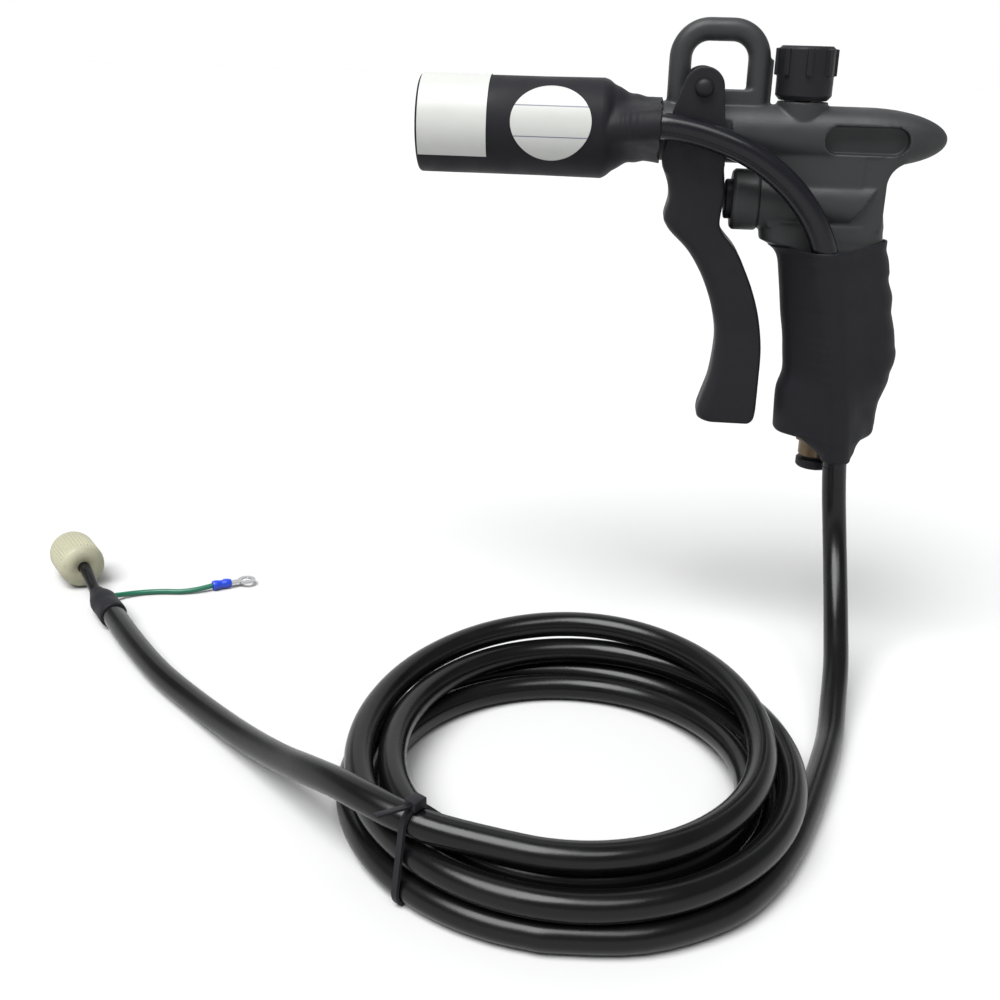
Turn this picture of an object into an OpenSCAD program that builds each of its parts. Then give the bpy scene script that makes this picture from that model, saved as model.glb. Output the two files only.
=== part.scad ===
// Handheld ionizing air gun: a cast blow-gun body with a trigger valve, a flow
// regulator and an ionizing nozzle fed by a high-voltage cable.
// Millimetres. The nose points to -X, +Z is up, and the origin is the inside top
// of the hanging loop, where the gun hangs on its hook.

/* [Hanging loop] */
// Inside width of the hanging loop
loop_in_w = 22; // [18:1:30]
// Height of the loop's opening
loop_in_h = 17.8; // [15:0.2:26]
// Thickness of the loop's round bar
loop_bar_d = 8.8; // [6:0.2:11]
// Inside corner radius of the loop
loop_corner_r = 6.6; // [4:0.1:8]
// Height of the solid sill between the opening and the barrel
loop_sill_h = 5.1; // [3:0.1:8]
// Thickness of the parting rib on the loop's rear leg
leg_rib_t = 1.2; // [0.6:0.1:2.5]

/* [Barrel] */
// Diameter of the barrel
barrel_d = 23; // [20:0.5:28]
// Distance from the loop's middle forward to the barrel's front face
barrel_front = 28; // [26:0.5:34]
// Distance from the loop's middle back to where the tail starts to round off
tail_start = 59; // [52:1:70]
// Length of the rounded tail
tail_len = 32.3; // [24:0.1:44]
// Width across the flats that the trigger straddles
flat_w = 20; // [16:0.5:20]
// Length of the oblong pocket in each side of the barrel
pocket_l = 33; // [24:0.5:36]
// Height of the pocket
pocket_h = 10.8; // [8:0.1:14]
// Depth of the pocket's floor from the barrel's side
pocket_d = 6.2; // [2:0.1:7]
// Place of the pocket's middle, back from the loop's middle
pocket_x = 59; // [54:0.2:62]
// Drop of the pocket's middle below the barrel's axis
pocket_drop = 0.8; // [0:0.1:2]

/* [Trigger] */
// Place of the trigger pivot, forward of the loop's middle
pivot_fore = 5.8; // [4:0.1:7]
// Height of the pivot above the loop's sill
pivot_rise = 0.6; // [0:0.1:2]
// Diameter of the pivot pin
pin_d = 4.5; // [3:0.1:6]
// Radius of the trigger's ears round the pivot
ear_r = 8; // [6.5:0.1:10]
// Thickness of each trigger cheek
cheek_t = 3; // [2:0.1:4]
// Length of the finger part, from the fork's floor to the tip
finger_len = 105.2; // [95:0.2:107]
// Width of the finger part at its tip
finger_tip_w = 19; // [14:0.5:22]
// Radius of the finger part's front edges
finger_edge_r = 5; // [3:0.1:6]
// Angle of the trigger's full pull, in degrees
trigger_pull = 3.2; // [2:0.1:3.4]

/* [Valve] */
// Distance of the valve's axis below the barrel's axis
valve_drop = 25.7; // [24:0.1:28]
// Diameter of the valve housing
housing_d = 22.6; // [21:0.1:23]
// Place of the seam between cap and housing, back from the loop's middle
housing_front = 19.6; // [18:0.1:22]
// Diameter of the valve cap
cap_d = 24.2; // [21:0.1:25]
// Length of the valve cap in front of the seam
cap_len = 10.6; // [9:0.1:12]
// Diameter of the bore that takes the valve cartridge
valve_bore_d = 15; // [13:0.1:17]
// Depth of that bore behind the seam
valve_bore_l = 36; // [32:0.5:38]
// Depth of the valve seat behind the seam
seat_depth = 18.4; // [16:0.2:22]
// Diameter of the push button on the valve stem
button_d = 16; // [13:0.1:17]
// Length of the button that stands out of the cap at rest
button_out = 2.8; // [2.4:0.1:4]
// Diameter of the valve stem
stem_d = 5; // [3:0.1:6]
// Diameter of the air passage round the stem
valve_port_d = 9; // [8:0.1:10]
// Wire diameter of the valve spring
spring_wire_d = 1; // [0.6:0.1:1.4]
// Number of turns in the valve spring
spring_turns = 5; // [3:1:7]

/* [Regulator] */
// Place of the regulator's axis, back from the loop's middle
knob_x = 33.6; // [33:0.1:36]
// Diameter of the knob's plain lower part
knob_d = 22; // [18:0.1:23]
// Height of the knob
knob_h = 20.3; // [14:0.1:22]
// Height of the knob's ribbed upper band
knob_band_h = 11; // [6:0.1:12]
// How far the ribs stand out from the knob
knob_rib_h = 1.1; // [0.4:0.1:1.8]
// Number of ribs round the knob
knob_ribs = 8; // [6:1:24]
// Diameter of the boss under the knob
boss_d = 20; // [14:0.1:22]
// Height of the boss above the barrel's top
boss_h = 1.4; // [1:0.1:5]
// Diameter of the regulator spindle
spindle_d = 6; // [4:0.1:7]
// Diameter of the gland that holds the spindle
gland_d = 12; // [10:0.1:13]
// Length of the gland
gland_l = 6.5; // [5:0.1:8]

/* [Handle] */
// Depth of the grip sleeve's upper edge below the barrel's axis
grip_top_drop = 43; // [41:0.5:46]
// Length of the grip sleeve from its upper edge to the handle's bottom
grip_len = 76.6; // [70:0.2:84]
// Half the width of the handle at its middle
handle_half_w = 12; // [11:0.1:14]
// Half the thickness of the neck between barrel and handle
neck_half_t = 8.7; // [7:0.1:9.5]
// Wall of the heat-shrink sleeves
sleeve_wall = 0.9; // [0.6:0.1:1.5]
// How far the grip sleeve stands below the handle's bottom
skirt_h = 2.2; // [0.8:0.1:3]
// How far the sleeve's lower edge shrinks in under the handle
skirt_in = 1.4; // [0:0.1:2]
// Rise of the sleeve's upper edge towards the rear
rim_rise = 3.2; // [0:0.1:5]
// Length of the gaiter that closes on the cable under the handle
gaiter_len = 11.5; // [8:0.5:16]

/* [Nozzle] */
// Distance from the loop's middle forward to the nozzle's front
nozzle_front = 118.5; // [110:0.5:135]
// Distance from the loop's middle forward to the nozzle's rear flange
nozzle_rear = 44; // [42:0.5:48]
// Outside diameter of the nozzle tube
tube_d = 36.6; // [34:0.2:42]
// Wall of the nozzle tube
tube_wall = 2.6; // [1.6:0.1:4]
// Thickness of the adapter's flange
flange_t = 3; // [2.4:0.1:5]
// Length of the adapter's plug inside the tube
plug_l = 13; // [8:0.5:18]
// Diameter of the barrel's front spigot
spigot_d = 11; // [9:0.1:12]
// Length of the spigot in front of the barrel
spigot_l = 28; // [20:0.5:28]
// Diameter of the air passages
air_d = 6.5; // [4:0.1:7]
// Wall of the earth ring inside the nozzle's mouth
earth_wall = 1.5; // [1:0.1:2.5]
// Length of the earth ring
earth_l = 22; // [12:0.5:28]
// Depth of the earth ring behind the tube's front edge
earth_set = 1.5; // [0.5:0.1:4]
// Diameter of the hub that holds the emitter needle
hub_d = 9; // [7:0.1:12]
// Length of the needle holder
holder_l = 8; // [6:0.5:12]
// Number of spokes in the needle holder
spokes = 4; // [3:1:6]
// Diameter of the emitter needle
needle_d = 1.8; // [1:0.1:2.4]
// Length of the needle in front of its hub
needle_out = 13; // [8:0.5:16]
// Length of the wrapped label along the nozzle
label_l = 27.6; // [16:0.2:36]
// Diameter of the round label
sticker_d = 32; // [20:1:36]
// Thickness of the labels
label_t = 0.25; // [0.15:0.05:0.5]

/* [Air fitting] */
// Place of the fitting's axis, back from the loop's middle
fitting_x = 54.5; // [52:0.1:55]
// Outside diameter of the air tube that plugs in
air_tube_d = 8; // [6:0.5:8]
// Width across the fitting's hexagon
hex_w = 15; // [13:0.2:16]
// Height of the hexagon
hex_h = 6.5; // [4:0.1:8]
// Height of the round collar under the hexagon
collar_h = 6; // [4:0.1:8]
// Diameter of the threaded shank
shank_d = 12; // [11:0.1:13]
// Length of the threaded shank
shank_l = 10; // [8:0.5:14]
// Diameter of the release ring
ring_d = 15.6; // [12.6:0.1:17]
// Height of the release ring's flange
ring_h = 4; // [3:0.1:8]
// Travel of the release ring
ring_travel = 1.1; // [0.6:0.1:1.2]

/* [Cable] */
// Diameter of the high-voltage cable
cable_d = 10; // [8:0.5:10]
// Diameter of the insulated lead inside the cable
lead_d = 5; // [3:0.2:5]
// Diameter of the earth wire
earth_wire_d = 2.4; // [1.6:0.1:3]
// Depth of the floor below the loop's inside top
floor_drop = 250; // [250:1:260]
// Radius of the middle of the coil's turns
coil_r = 75; // [66:1:80]
// Width of the coiled bundle
coil_w = 27; // [20:1:30]
// Height of the coiled bundle
coil_h = 30.5; // [20:0.5:36]
// Thickness of the cable tie
tie_t = 1; // [0.6:0.1:1.4]
// Width of the cable tie
tie_w = 2.6; // [1.6:0.1:4]

/* [Connector] */
// Length of the boot on the cable's end
boot_l = 28; // [20:1:40]
// Diameter of the boot over the cable
boot_d = 12; // [11.6:0.1:14]
// Diameter of the boot's thin end
boot_end_d = 7; // [6:0.1:9]
// Length of bare lead between boot and coupling nut
lead_out = 20; // [12:1:30]
// Diameter of the coupling nut
nut_d = 21; // [18:0.5:24]
// Length of the coupling nut
nut_l = 24; // [20:0.5:30]
// Wall of the coupling nut
nut_wall = 2.4; // [1.6:0.1:3]
// Thickness of the coupling nut's end
nut_end_t = 5; // [3:0.1:6]
// Number of fine grip ribs round the nut
nut_ribs = 40; // [24:1:60]
// Length of the insulating plug in the nut
plug_len = 6; // [4:0.5:8]
// Length of the contact pin
contact_l = 7; // [4:0.5:9]
// Diameter of the contact pin
contact_d = 2; // [1:0.1:3]
// Hole in the ring terminal
ring_hole_d = 4.3; // [3.2:0.1:5.3]
// Outside diameter of the ring terminal
ring_out_d = 8.4; // [7:0.1:10]
// Thickness of the ring terminal
ring_t = 0.8; // [0.5:0.1:1.2]

/* [Fits] */
// Radial clearance of parts that turn or slide
run_fit = 0.08; // [0.02:0.01:0.1]
// Gap between fixed parts that seat in one another
seat_gap = 0.1; // [0.05:0.05:0.2]
// Gap beside moving parts
side_gap = 0.4; // [0.3:0.1:0.8]

/* [Hidden] */
$fn = 64;

body_grey = [0.29, 0.30, 0.30];
near_black = [0.16, 0.16, 0.18];
cable_black = [0.13, 0.13, 0.14];
label_white = [0.93, 0.93, 0.91];
steel = [0.72, 0.73, 0.75];
brass = [0.72, 0.60, 0.32];
beige = [0.75, 0.74, 0.64];
wire_green = [0.08, 0.40, 0.30];
sleeve_blue = [0.14, 0.28, 0.78];

barrel_r = barrel_d / 2;
barrel_z = -(loop_in_h + loop_sill_h + barrel_r);
loop_half = (loop_in_w + loop_bar_d) / 2;
bend_r = loop_corner_r + loop_bar_d / 2;
flat_from = -21.6;
flat_to = 10;

pivot_x = -pivot_fore;
pivot_z = -loop_in_h + pivot_rise;
pivot_boss_r = ear_r - 2;
fork_in = flat_w / 2 + side_gap;
fork_out = fork_in + cheek_t;

valve_z = barrel_z - valve_drop;
housing_r = housing_d / 2;
housing_end = 68;
cap_front = housing_front - cap_len;
button_front = cap_front - button_out;
button_seat_l = 5.5;
button_l = button_out + button_seat_l - 2.6;
guide_end = housing_front + 2.4;
seat_x = housing_front + seat_depth;
seal_t = 3;
seal_d = (valve_port_d + valve_bore_d) / 2;
bore_end = housing_front + valve_bore_l;

boss_top = barrel_z + barrel_r + boss_h;
knob_bottom = boss_top + side_gap;
spindle_l = gland_l;
needle_top = boss_top - spindle_l;

grip_top = barrel_z - grip_top_drop;
handle_bottom = grip_top - grip_len;
floor_z = -floor_drop;

tube_r = tube_d / 2;
tube_in_r = tube_r - tube_wall;
sleeve_r = tube_r + seat_gap + sleeve_wall;
tube_front = -nozzle_front + sleeve_wall;
tube_rear = -nozzle_rear - flange_t;
plug_front = tube_rear - plug_l;
earth_front = tube_front + earth_set;
earth_rear = earth_front + earth_l;
holder_front = earth_rear;
holder_rear = holder_front + holder_l;
sleeve_end = flat_from - 0.2;

cable_r = cable_d / 2;
cable_y = -(fork_out + 2 * side_gap + cable_r);
fitting_bottom = handle_bottom - hex_h - collar_h;
ring_top = fitting_bottom - ring_travel - side_gap;
socket_l = 10;
ring_sleeve_d = air_tube_d + 2.8;
ring_bore_d = air_tube_d + 0.6;

// Handle outline from the valve down: [drop below the barrel's axis as a share of
// the way to the handle's bottom, front, back, share of the half width]
handle_line = [[0.287, 20.6, 68.9, 0.78], [0.343, 21.6, 70.6, 0.81],
  [0.366, 27.6, 72.2, 0.85], [0.4, 30.8, 73.6, 0.88], [0.46, 32.3, 74.8, 0.92],
  [0.533, 33.6, 77, 0.95], [0.62, 35.3, 79.4, 0.98], [0.68, 36.5, 80.9, 1],
  [0.735, 37.3, 81.4, 1], [0.8, 37.9, 80.5, 1], [0.86, 36.3, 78.5, 1],
  [0.93, 36.1, 76.9, 1], [1, 36.4, 76.2, 0.95]];
// Trigger finger outline: [share of the finger length, front, back] from the pivot
finger_line = [[0, -14.2, 10.5], [0.06, -11.6, 11.2], [0.12, -10.6, 11.2],
  [0.19, -12.1, 10.5], [0.22, -11, 10.9], [0.25, -8.6, 12.8], [0.31, -2, 18.4],
  [0.38, 3.2, 22.4], [0.46, 7.4, 26.2], [0.55, 10.8, 29.4], [0.64, 12.8, 31.4],
  [0.72, 12.8, 32.3],
  [0.82, 11.6, 32.4], [0.9, 9.2, 32.4], [0.95, 7.8, 32.3], [0.985, 8, 31.6], [1, 10.8, 29.8]];
// Nozzle sleeve behind the tube: [distance in front of its end, share of the way down
// from the tube's radius to the barrel's]
sleeve_line = [[22.8, -0.03], [20.4, 0.12], [17.8, 0.43], [14.4, 0.71], [9.4, 0.92],
  [4.4, 0.99], [0, 1]];
// Cable from the nozzle over the trigger and down inside the grip: [x, y, z]
upper_path = [[-46, -12, -34.4], [-38, -13.6, -34], [-28, -17.4, -32.4],
  [-20, cable_y, -31.6], [-9, cable_y, -33.2], [3, cable_y, -36.6],
  [14, cable_y, -41.2], [24, cable_y, -47.6], [33, -18.8, -55.6], [41, -18.4, -66],
  [46.5, -18, -78], [50.5, -17.6, -94], [54, -17.4, -112], [57, -17.2, -132],
  [59, -17, -148], [60, -17, -157], [60.5, -17, -166]];
// Lead from the cable's end to the needle hub: [x, y, z]
lead_path = [[-46, -12, -34.4], [-54, -12, -34.4], [-62, -11.6, -34.4],
  [-72, -8, -34.4], [-80, -3, -34.4], [-86, 0, -34.4]];
// Free cable from the grip down to the coil: [x, y, z]
drop_path = [[60.5, -17, -166], [61, -17.2, -178], [61.5, -19, -190], [62, -25, -202],
  [62, -36, -214], [61.5, -51, -225], [60.5, -68, -234], [58.5, -86, -241],
  [56, -104, -244.6], [52, -122, -245], [46.5, -141, -245], [40, -161, -245],
  [32, -181, -245]];
// Free cable from the coil to the boot: [x, y, z]
tail_path = [[-76, -214.5, -224.4], [-89, -210, -223.4], [-101, -203, -223],
  [-112, -194, -224.4], [-125, -181, -229], [-140, -164.5, -235.5], [-160, -143, -241.5],
  [-183, -120, -244.6], [-207, -97, -245], [-228, -73, -244.4], [-246, -50, -244]];
// Earth wire from the boot to its ring terminal: [x, y, z]
earth_path = [[-260, -30, -245.6], [-258.5, -25, -246.8], [-255, -20, -248],
  [-250, -16, -248.6], [-244, -13.2, -248.8], [-237, -11.5, -248.8], [-230, -10.5, -248.8],
  [-223, -8, -248.3], [-217, -4, -247.7]];
coil_x = -40;
coil_y = -148;
coil_squash = 0.92;
tie_angle = 233;
boot_start = tail_path[len(tail_path) - 1];
boot_angle = 128;
terminal_start = earth_path[len(earth_path) - 1];
terminal_angle = 34;

// Ring of points round the taut outline of discs [x, y, radius], at height z
function disc_ring(discs, z, n) = [for (k = [0:n - 1])
  let (u = [cos(360 * k / n), sin(360 * k / n)],
       reach = [for (d = discs) d[0] * u[0] + d[1] * u[1] + d[2]],
       best = [for (j = [0:len(discs) - 1]) if (reach[j] == max(reach)) j][0],
       d = discs[best])
  [d[0] + d[2] * u[0], d[1] + d[2] * u[1], z]];

// One step of a smooth curve through four values in a row
function curve(a, b, c, d, t) = 0.5 * (2 * b + (c - a) * t
  + (2 * a - 5 * b + 4 * c - d) * t * t + (3 * b - a - 3 * c + d) * t * t * t);

// A list of stations with smooth ones added between them
function smooth(p, steps) = [for (i = [0:len(p) - 2], s = [0:steps - 1])
  curve(p[max(i - 1, 0)], p[i], p[i + 1], p[min(i + 2, len(p) - 1)], s / steps),
  p[len(p) - 1]];

function upward(list) = [for (i = [len(list) - 1:-1:0]) list[i]];

// Direction of a path at its point i
function heading(p, i) =
  let (v = p[min(i + 1, len(p) - 1)] - p[max(i - 1, 0)]) v / norm(v);

// Ring of points square to a path at its point i
function path_ring(p, i, r, n, ref) =
  let (t = heading(p, i), c = cross(ref, t), u = c / norm(c), v = cross(t, u))
  [for (k = [0:n - 1]) p[i] + r * (cos(360 * k / n) * u + sin(360 * k / n) * v)];

// Solid through rings of points, lowest ring first
module loft(rings) {
  n = len(rings[0]);
  last = len(rings) - 1;
  points = [for (ring = rings, q = ring) q];
  sides = [for (i = [0:last - 1], k = [0:n - 1], half = [0, 1])
    let (a = i * n + k, b = i * n + (k + 1) % n)
    half == 0 ? [a, a + n, b + n] : [a, b + n, b]];
  ends = [[for (k = [0:n - 1]) k], [for (k = [n - 1:-1:0]) last * n + k]];
  polyhedron(points, concat(sides, ends));
}

// Hollow sleeve between rings of its outer and inner face, lowest ring first
module shell(outer, inner) {
  closed_loft(concat(outer, upward(inner)));
}

// Solid through rings of equal point counts that come back to the first one
module closed_loft(rings) {
  n = len(rings[0]);
  count = len(rings);
  sides = [for (i = [0:count - 1], k = [0:n - 1], half = [0, 1])
    let (a = i * n + k, b = i * n + (k + 1) % n, up = (i + 1) % count * n - i * n)
    half == 0 ? [a, a + up, b + up] : [a, b + up, b]];
  polyhedron([for (ring = rings, q = ring) q], sides);
}

// Round tube solid along a path
module sweep(path, d, sides, ref) {
  loft([for (i = [0:len(path) - 1]) path_ring(path, i, d / 2, sides, ref)]);
}

// Cylinder along X from x1 to x2 on the axis at height z
module rod_x(x1, x2, d, z) {
  translate([x1, 0, z]) rotate([0, 90, 0]) cylinder(h = x2 - x1, d = d);
}

// Cylinder along Y from y1 to y2
module rod_y(x, y1, y2, d, z) {
  translate([x, y1, z]) rotate([-90, 0, 0]) cylinder(h = y2 - y1, d = d);
}

// Upright cylinder from z1 to z2
module rod_z(x, z1, z2, d) {
  translate([x, 0, z1]) cylinder(h = z2 - z1, d = d);
}

// Outline in the XZ plane drawn out to the same width on both sides
module plate_y(half) {
  translate([0, half, 0]) rotate([90, 0, 0]) linear_extrude(2 * half) children();
}

// Ring with a round section, on the X axis at height z
module o_ring(x, z, in_d, out_d) {
  wire = (out_d - in_d) / 4;
  translate([x, 0, z]) rotate([0, 90, 0])
    rotate_extrude() translate([in_d / 2 + wire, 0]) circle(wire, $fn = 24);
}

// Solid turned about the X axis at height z from an outline of [radius, x]
module turned_x(z, outline) {
  translate([0, 0, z]) rotate([0, 90, 0]) rotate_extrude() polygon(outline);
}

// Corner points of a rectangle with round corners, round the origin
function soft_rect(w, h, r) = [for (q = [0:3], s = [0:4])
  let (a = 90 * q + 22.5 * s, sx = (q == 0 || q == 3) ? 1 : -1, sy = q < 2 ? 1 : -1)
  [sx * (w / 2 - r) + r * cos(a), sy * (h / 2 - r) + r * sin(a)]];

// Handle section: two discs, with the wall w added all round
function handle_discs(s, w) = let (r = s[3] * handle_half_w)
  [[s[1] + r, 0, r + w], [s[2] - r, 0, r + w]];
function handle_z(share) = barrel_z + share * (handle_bottom - barrel_z);
handle_stations = smooth(handle_line, 1);

// Handle section at any share of the way down, between its stations
function handle_at(share) =
  let (p = handle_stations, i = [for (j = [0:len(p) - 2]) if (p[j + 1][0] >= share) j][0],
       t = (share - p[i][0]) / (p[i + 1][0] - p[i][0]))
  p[i] + t * (p[i + 1] - p[i]);

// Place of the cable at height z, found along its path
function on_path(p, z) =
  let (i = [for (j = [0:len(p) - 2]) if (p[j][2] >= z && p[j + 1][2] <= z) j][0],
       t = (z - p[i][2]) / (p[i + 1][2] - p[i][2]))
  p[i] + t * (p[i + 1] - p[i]);
upper_route = smooth(upper_path, 2);

// Loop bar: two legs and a top joined by quarter bends
module hanging_loop() {
  top_z = loop_bar_d / 2;
  bend_z = top_z - bend_r;
  bend_x = loop_half - bend_r;
  rod_x(-bend_x, bend_x, loop_bar_d, top_z);
  for (side = [-1, 1]) {
    rod_z(side * loop_half, barrel_z, bend_z, loop_bar_d);
    translate([side * bend_x, 0, bend_z]) rotate([90, 0, side > 0 ? 0 : 180])
      rotate_extrude(angle = 90) translate([bend_r, 0]) circle(d = loop_bar_d);
  }
  translate([-loop_half, -loop_bar_d / 2, barrel_z])
    cube([2 * loop_half, loop_bar_d, barrel_r + loop_sill_h]);
  rib_top = bend_z + 0.5;
  translate([loop_half, -1.5, barrel_z])
    cube([loop_bar_d / 2 + leg_rib_t, 3, rib_top - barrel_z]);
}

// Radius of the rounded tail at a place along the barrel
function tail_r(x) = barrel_r * sqrt(1 - pow((x - tail_start) / tail_len, 2));

// Barrel with its rounded tail and front spigot
module barrel_form() {
  tail = [for (k = [0:14]) let (a = 90 * k / 14)
    [barrel_r * cos(a), tail_start + tail_len * sin(a)]];
  front = [[0, -barrel_front - spigot_l], [spigot_d / 2, -barrel_front - spigot_l],
    [spigot_d / 2, -barrel_front], [barrel_r, -barrel_front]];
  turned_x(barrel_z, concat(front, tail));
}

// Block on the barrel that carries the trigger's pivot pin
module pivot_block() {
  plate_y(flat_w / 2) {
    translate([pivot_x, pivot_z]) circle(pivot_boss_r);
    translate([pivot_x - pivot_boss_r, barrel_z])
      square([2 * pivot_boss_r, pivot_z - barrel_z]);
  }
}

// Neck between the barrel and the handle, with its rounded rear corner
module neck() {
  back = handle_line[0][2];
  low = handle_z(handle_line[0][0]) - 1;
  fillet = 8.5;
  under = barrel_z - tail_r(back + fillet) + 4 * seat_gap;
  front = housing_front + 4;
  pad_end = back - 9.6;
  plate_y(neck_half_t) translate([front, low]) square([back - front, barrel_z - low]);
  intersection() {
    plate_y(neck_half_t) difference() {
      translate([back - 1, under - fillet]) square([fillet + 1, fillet + 4]);
      translate([back + fillet, under - fillet]) circle(fillet);
    }
    translate([back - 1, 0, under - fillet]) scale([fillet + 1.5, neck_half_t, 1])
      cylinder(h = fillet + 4, r = 1);
  }
  plate_y(neck_half_t + 0.4) translate([front, valve_z]) square([pad_end - front, barrel_z - valve_z]);
}

// Valve housing with its sloped rear end
module valve_housing() {
  slope_x = 60.5;
  slope = 54.5;
  difference() {
    rod_x(housing_front, housing_end, housing_d, valve_z);
    translate([slope_x, -housing_r - 1, valve_z]) rotate([0, -slope, 0])
      translate([-2 * housing_d, 0, -3 * housing_d])
        cube([4 * housing_d, housing_d + 2, 3 * housing_d]);
  }
  rod_x(housing_front, slope_x - 8, housing_d, valve_z);
}

module handle_core() {
  loft(upward([for (s = handle_stations) disc_ring(handle_discs(s, 0), handle_z(s[0]), 40)]));
}

module pocket(side) {
  floor_y = side * (barrel_r - pocket_d);
  r = pocket_h / 2;
  translate([pocket_x, floor_y, barrel_z - pocket_drop]) rotate([side > 0 ? -90 : 90, 0, 0])
    linear_extrude(2 * pocket_d) {
      square([pocket_l - pocket_h, pocket_h], center = true);
      for (end = [-1, 1]) translate([end * (pocket_l - pocket_h) / 2, 0]) circle(r);
    }
}

// Body casting: loop, barrel, boss, neck, valve housing and handle in one piece
module gun_body() {
  color(body_grey) difference() {
    union() {
      difference() {
        barrel_form();
        for (side = [0, 1]) mirror([0, side, 0])
          translate([flat_from, flat_w / 2, barrel_z - barrel_r - 1])
            cube([flat_to - flat_from, barrel_d, barrel_d + 2]);
      }
      hanging_loop();
      pivot_block();
      rod_z(knob_x, barrel_z, boss_top, boss_d);
      neck();
      valve_housing();
      handle_core();
    }
    for (side = [-1, 1]) pocket(side);
    rod_y(pivot_x, -barrel_d, barrel_d, pin_d + 2 * seat_gap, pivot_z);
    rod_x(housing_front - 1, bore_end, valve_bore_d + 2 * seat_gap, valve_z);
    rod_z(knob_x, boss_top - gland_l, boss_top + 1, gland_d + 2 * seat_gap);
    rod_z(knob_x, valve_z, boss_top - gland_l + 0.01, air_d + 0.6);
    rod_x(-barrel_front - spigot_l - 1, knob_x, air_d, barrel_z);
    rod_z(fitting_x, handle_bottom, valve_z, air_d);
    rod_z(fitting_x, handle_bottom - 1, handle_bottom + shank_l + 1, shank_d + 2 * seat_gap);
  }
}

// Turned insulator that joins the nozzle tube to the barrel's spigot
module nozzle_adapter() {
  color(near_black) difference() {
    union() {
      rod_x(tube_rear, -nozzle_rear, tube_d, barrel_z);
      rod_x(plug_front, tube_rear, 2 * (tube_in_r - seat_gap), barrel_z);
    }
    rod_x(-barrel_front - spigot_l, -nozzle_rear + 1, spigot_d + 2 * seat_gap, barrel_z);
    rod_x(plug_front - 1, -nozzle_rear, air_d, barrel_z);
    translate([0, upper_path[0][1], upper_path[0][2] - barrel_z]) {
      rod_x(upper_path[0][0] - cable_r / 2, -nozzle_rear + 1, cable_d + 8 * seat_gap, barrel_z);
      rod_x(plug_front - 1, -nozzle_rear, lead_d + 6 * seat_gap, barrel_z);
    }
  }
}

module nozzle_tube() {
  color(near_black) difference() {
    rod_x(tube_front, tube_rear, tube_d, barrel_z);
    rod_x(tube_front - 1, tube_rear + 1, 2 * tube_in_r, barrel_z);
  }
}

// Metal ring in the nozzle's mouth that the needle discharges to
module earth_ring() {
  r = tube_in_r - seat_gap;
  color(steel) turned_x(barrel_z, [[r - earth_wall, earth_front + 1],
    [r - earth_wall / 2, earth_front], [r, earth_front], [r, earth_rear],
    [r - earth_wall, earth_rear]]);
}

// Spoked insulator that centres the needle in the air stream
module needle_holder() {
  rim_r = tube_in_r - seat_gap;
  spoke_t = 2.4;
  color(near_black) difference() {
    union() {
      rod_x(holder_front - 3, holder_rear, hub_d, barrel_z);
      turned_x(barrel_z, [[rim_r - 2, holder_front], [rim_r, holder_front],
        [rim_r, holder_rear], [rim_r - 2, holder_rear]]);
      for (k = [0:spokes - 1]) translate([0, 0, barrel_z]) rotate([45 + 360 * k / spokes, 0, 0])
        translate([holder_front, -spoke_t / 2, 0]) cube([holder_l, spoke_t, rim_r - 1]);
    }
    rod_x(holder_front - 4, holder_rear - 2, needle_d + 2 * seat_gap, barrel_z);
  }
}

// Pointed steel needle that emits the ions
module emitter_needle() {
  r = needle_d / 2;
  base = holder_rear - 2 - seat_gap;
  tip = holder_front - 3 - needle_out;
  color(steel) turned_x(barrel_z, [[0, base], [r, base], [r, tip + 4], [0.1, tip], [0, tip]]);
}

module needle_lead() {
  color(cable_black) sweep(concat(smooth(lead_path, 2), [[holder_rear, 0, barrel_z]]),
    lead_d, 12, [0, 0, 1]);
}

// Section of the nozzle sleeve behind the tube, pulled over barrel and cable
function sleeve_discs(x, r, wall) =
  let (p = [for (j = [0:len(upper_route) - 2])
         if (upper_route[j][0] <= x && upper_route[j + 1][0] >= x)
           let (t = (x - upper_route[j][0]) / (upper_route[j + 1][0] - upper_route[j][0]))
           upper_route[j] + t * (upper_route[j + 1] - upper_route[j])][0])
  [[0, 0, r + wall], [p[2] - barrel_z, -p[1], cable_r + 4 * seat_gap + wall]];

// Rings of the nozzle sleeve's outer or inner face, front first; lip rounds its front edge
function nozzle_sleeve_rings(wall, lip) =
  let (base = tube_r + seat_gap, n = 48,
       front = [[0, base - lip], [0.5, base - lip / 4], [1.6, base]],
       fall = barrel_r + 1.5 * seat_gap - base,
       rear = [for (s = smooth(sleeve_line, 2)) [sleeve_end - s[0], base + s[1] * fall]])
  concat([for (s = front) disc_ring([[0, 0, s[1] + wall]], s[0] - nozzle_front, n)],
    [for (s = rear) disc_ring(sleeve_discs(s[0], s[1], wall), s[0], n)]);

// Heat-shrink sleeve over the nozzle tube, drawn down to the barrel and cable
module nozzle_sleeve() {
  color(near_black) translate([0, 0, barrel_z]) rotate([0, 90, 0]) rotate([0, 0, 180])
    shell(nozzle_sleeve_rings(sleeve_wall, 0.6), nozzle_sleeve_rings(0, 0));
}

// White label wrapped round the front of the sleeve
module wrap_label() {
  from = -(nozzle_front - sleeve_wall);
  r = sleeve_r + seat_gap;
  low = -35.5;
  sweep_angle = 150;
  color(label_white) translate([0, 0, barrel_z]) rotate([0, 90, 0])
    rotate([0, 0, -90 - low - sweep_angle])
      rotate_extrude(angle = sweep_angle)
        translate([r, from]) square([label_t, label_l]);
}

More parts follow.
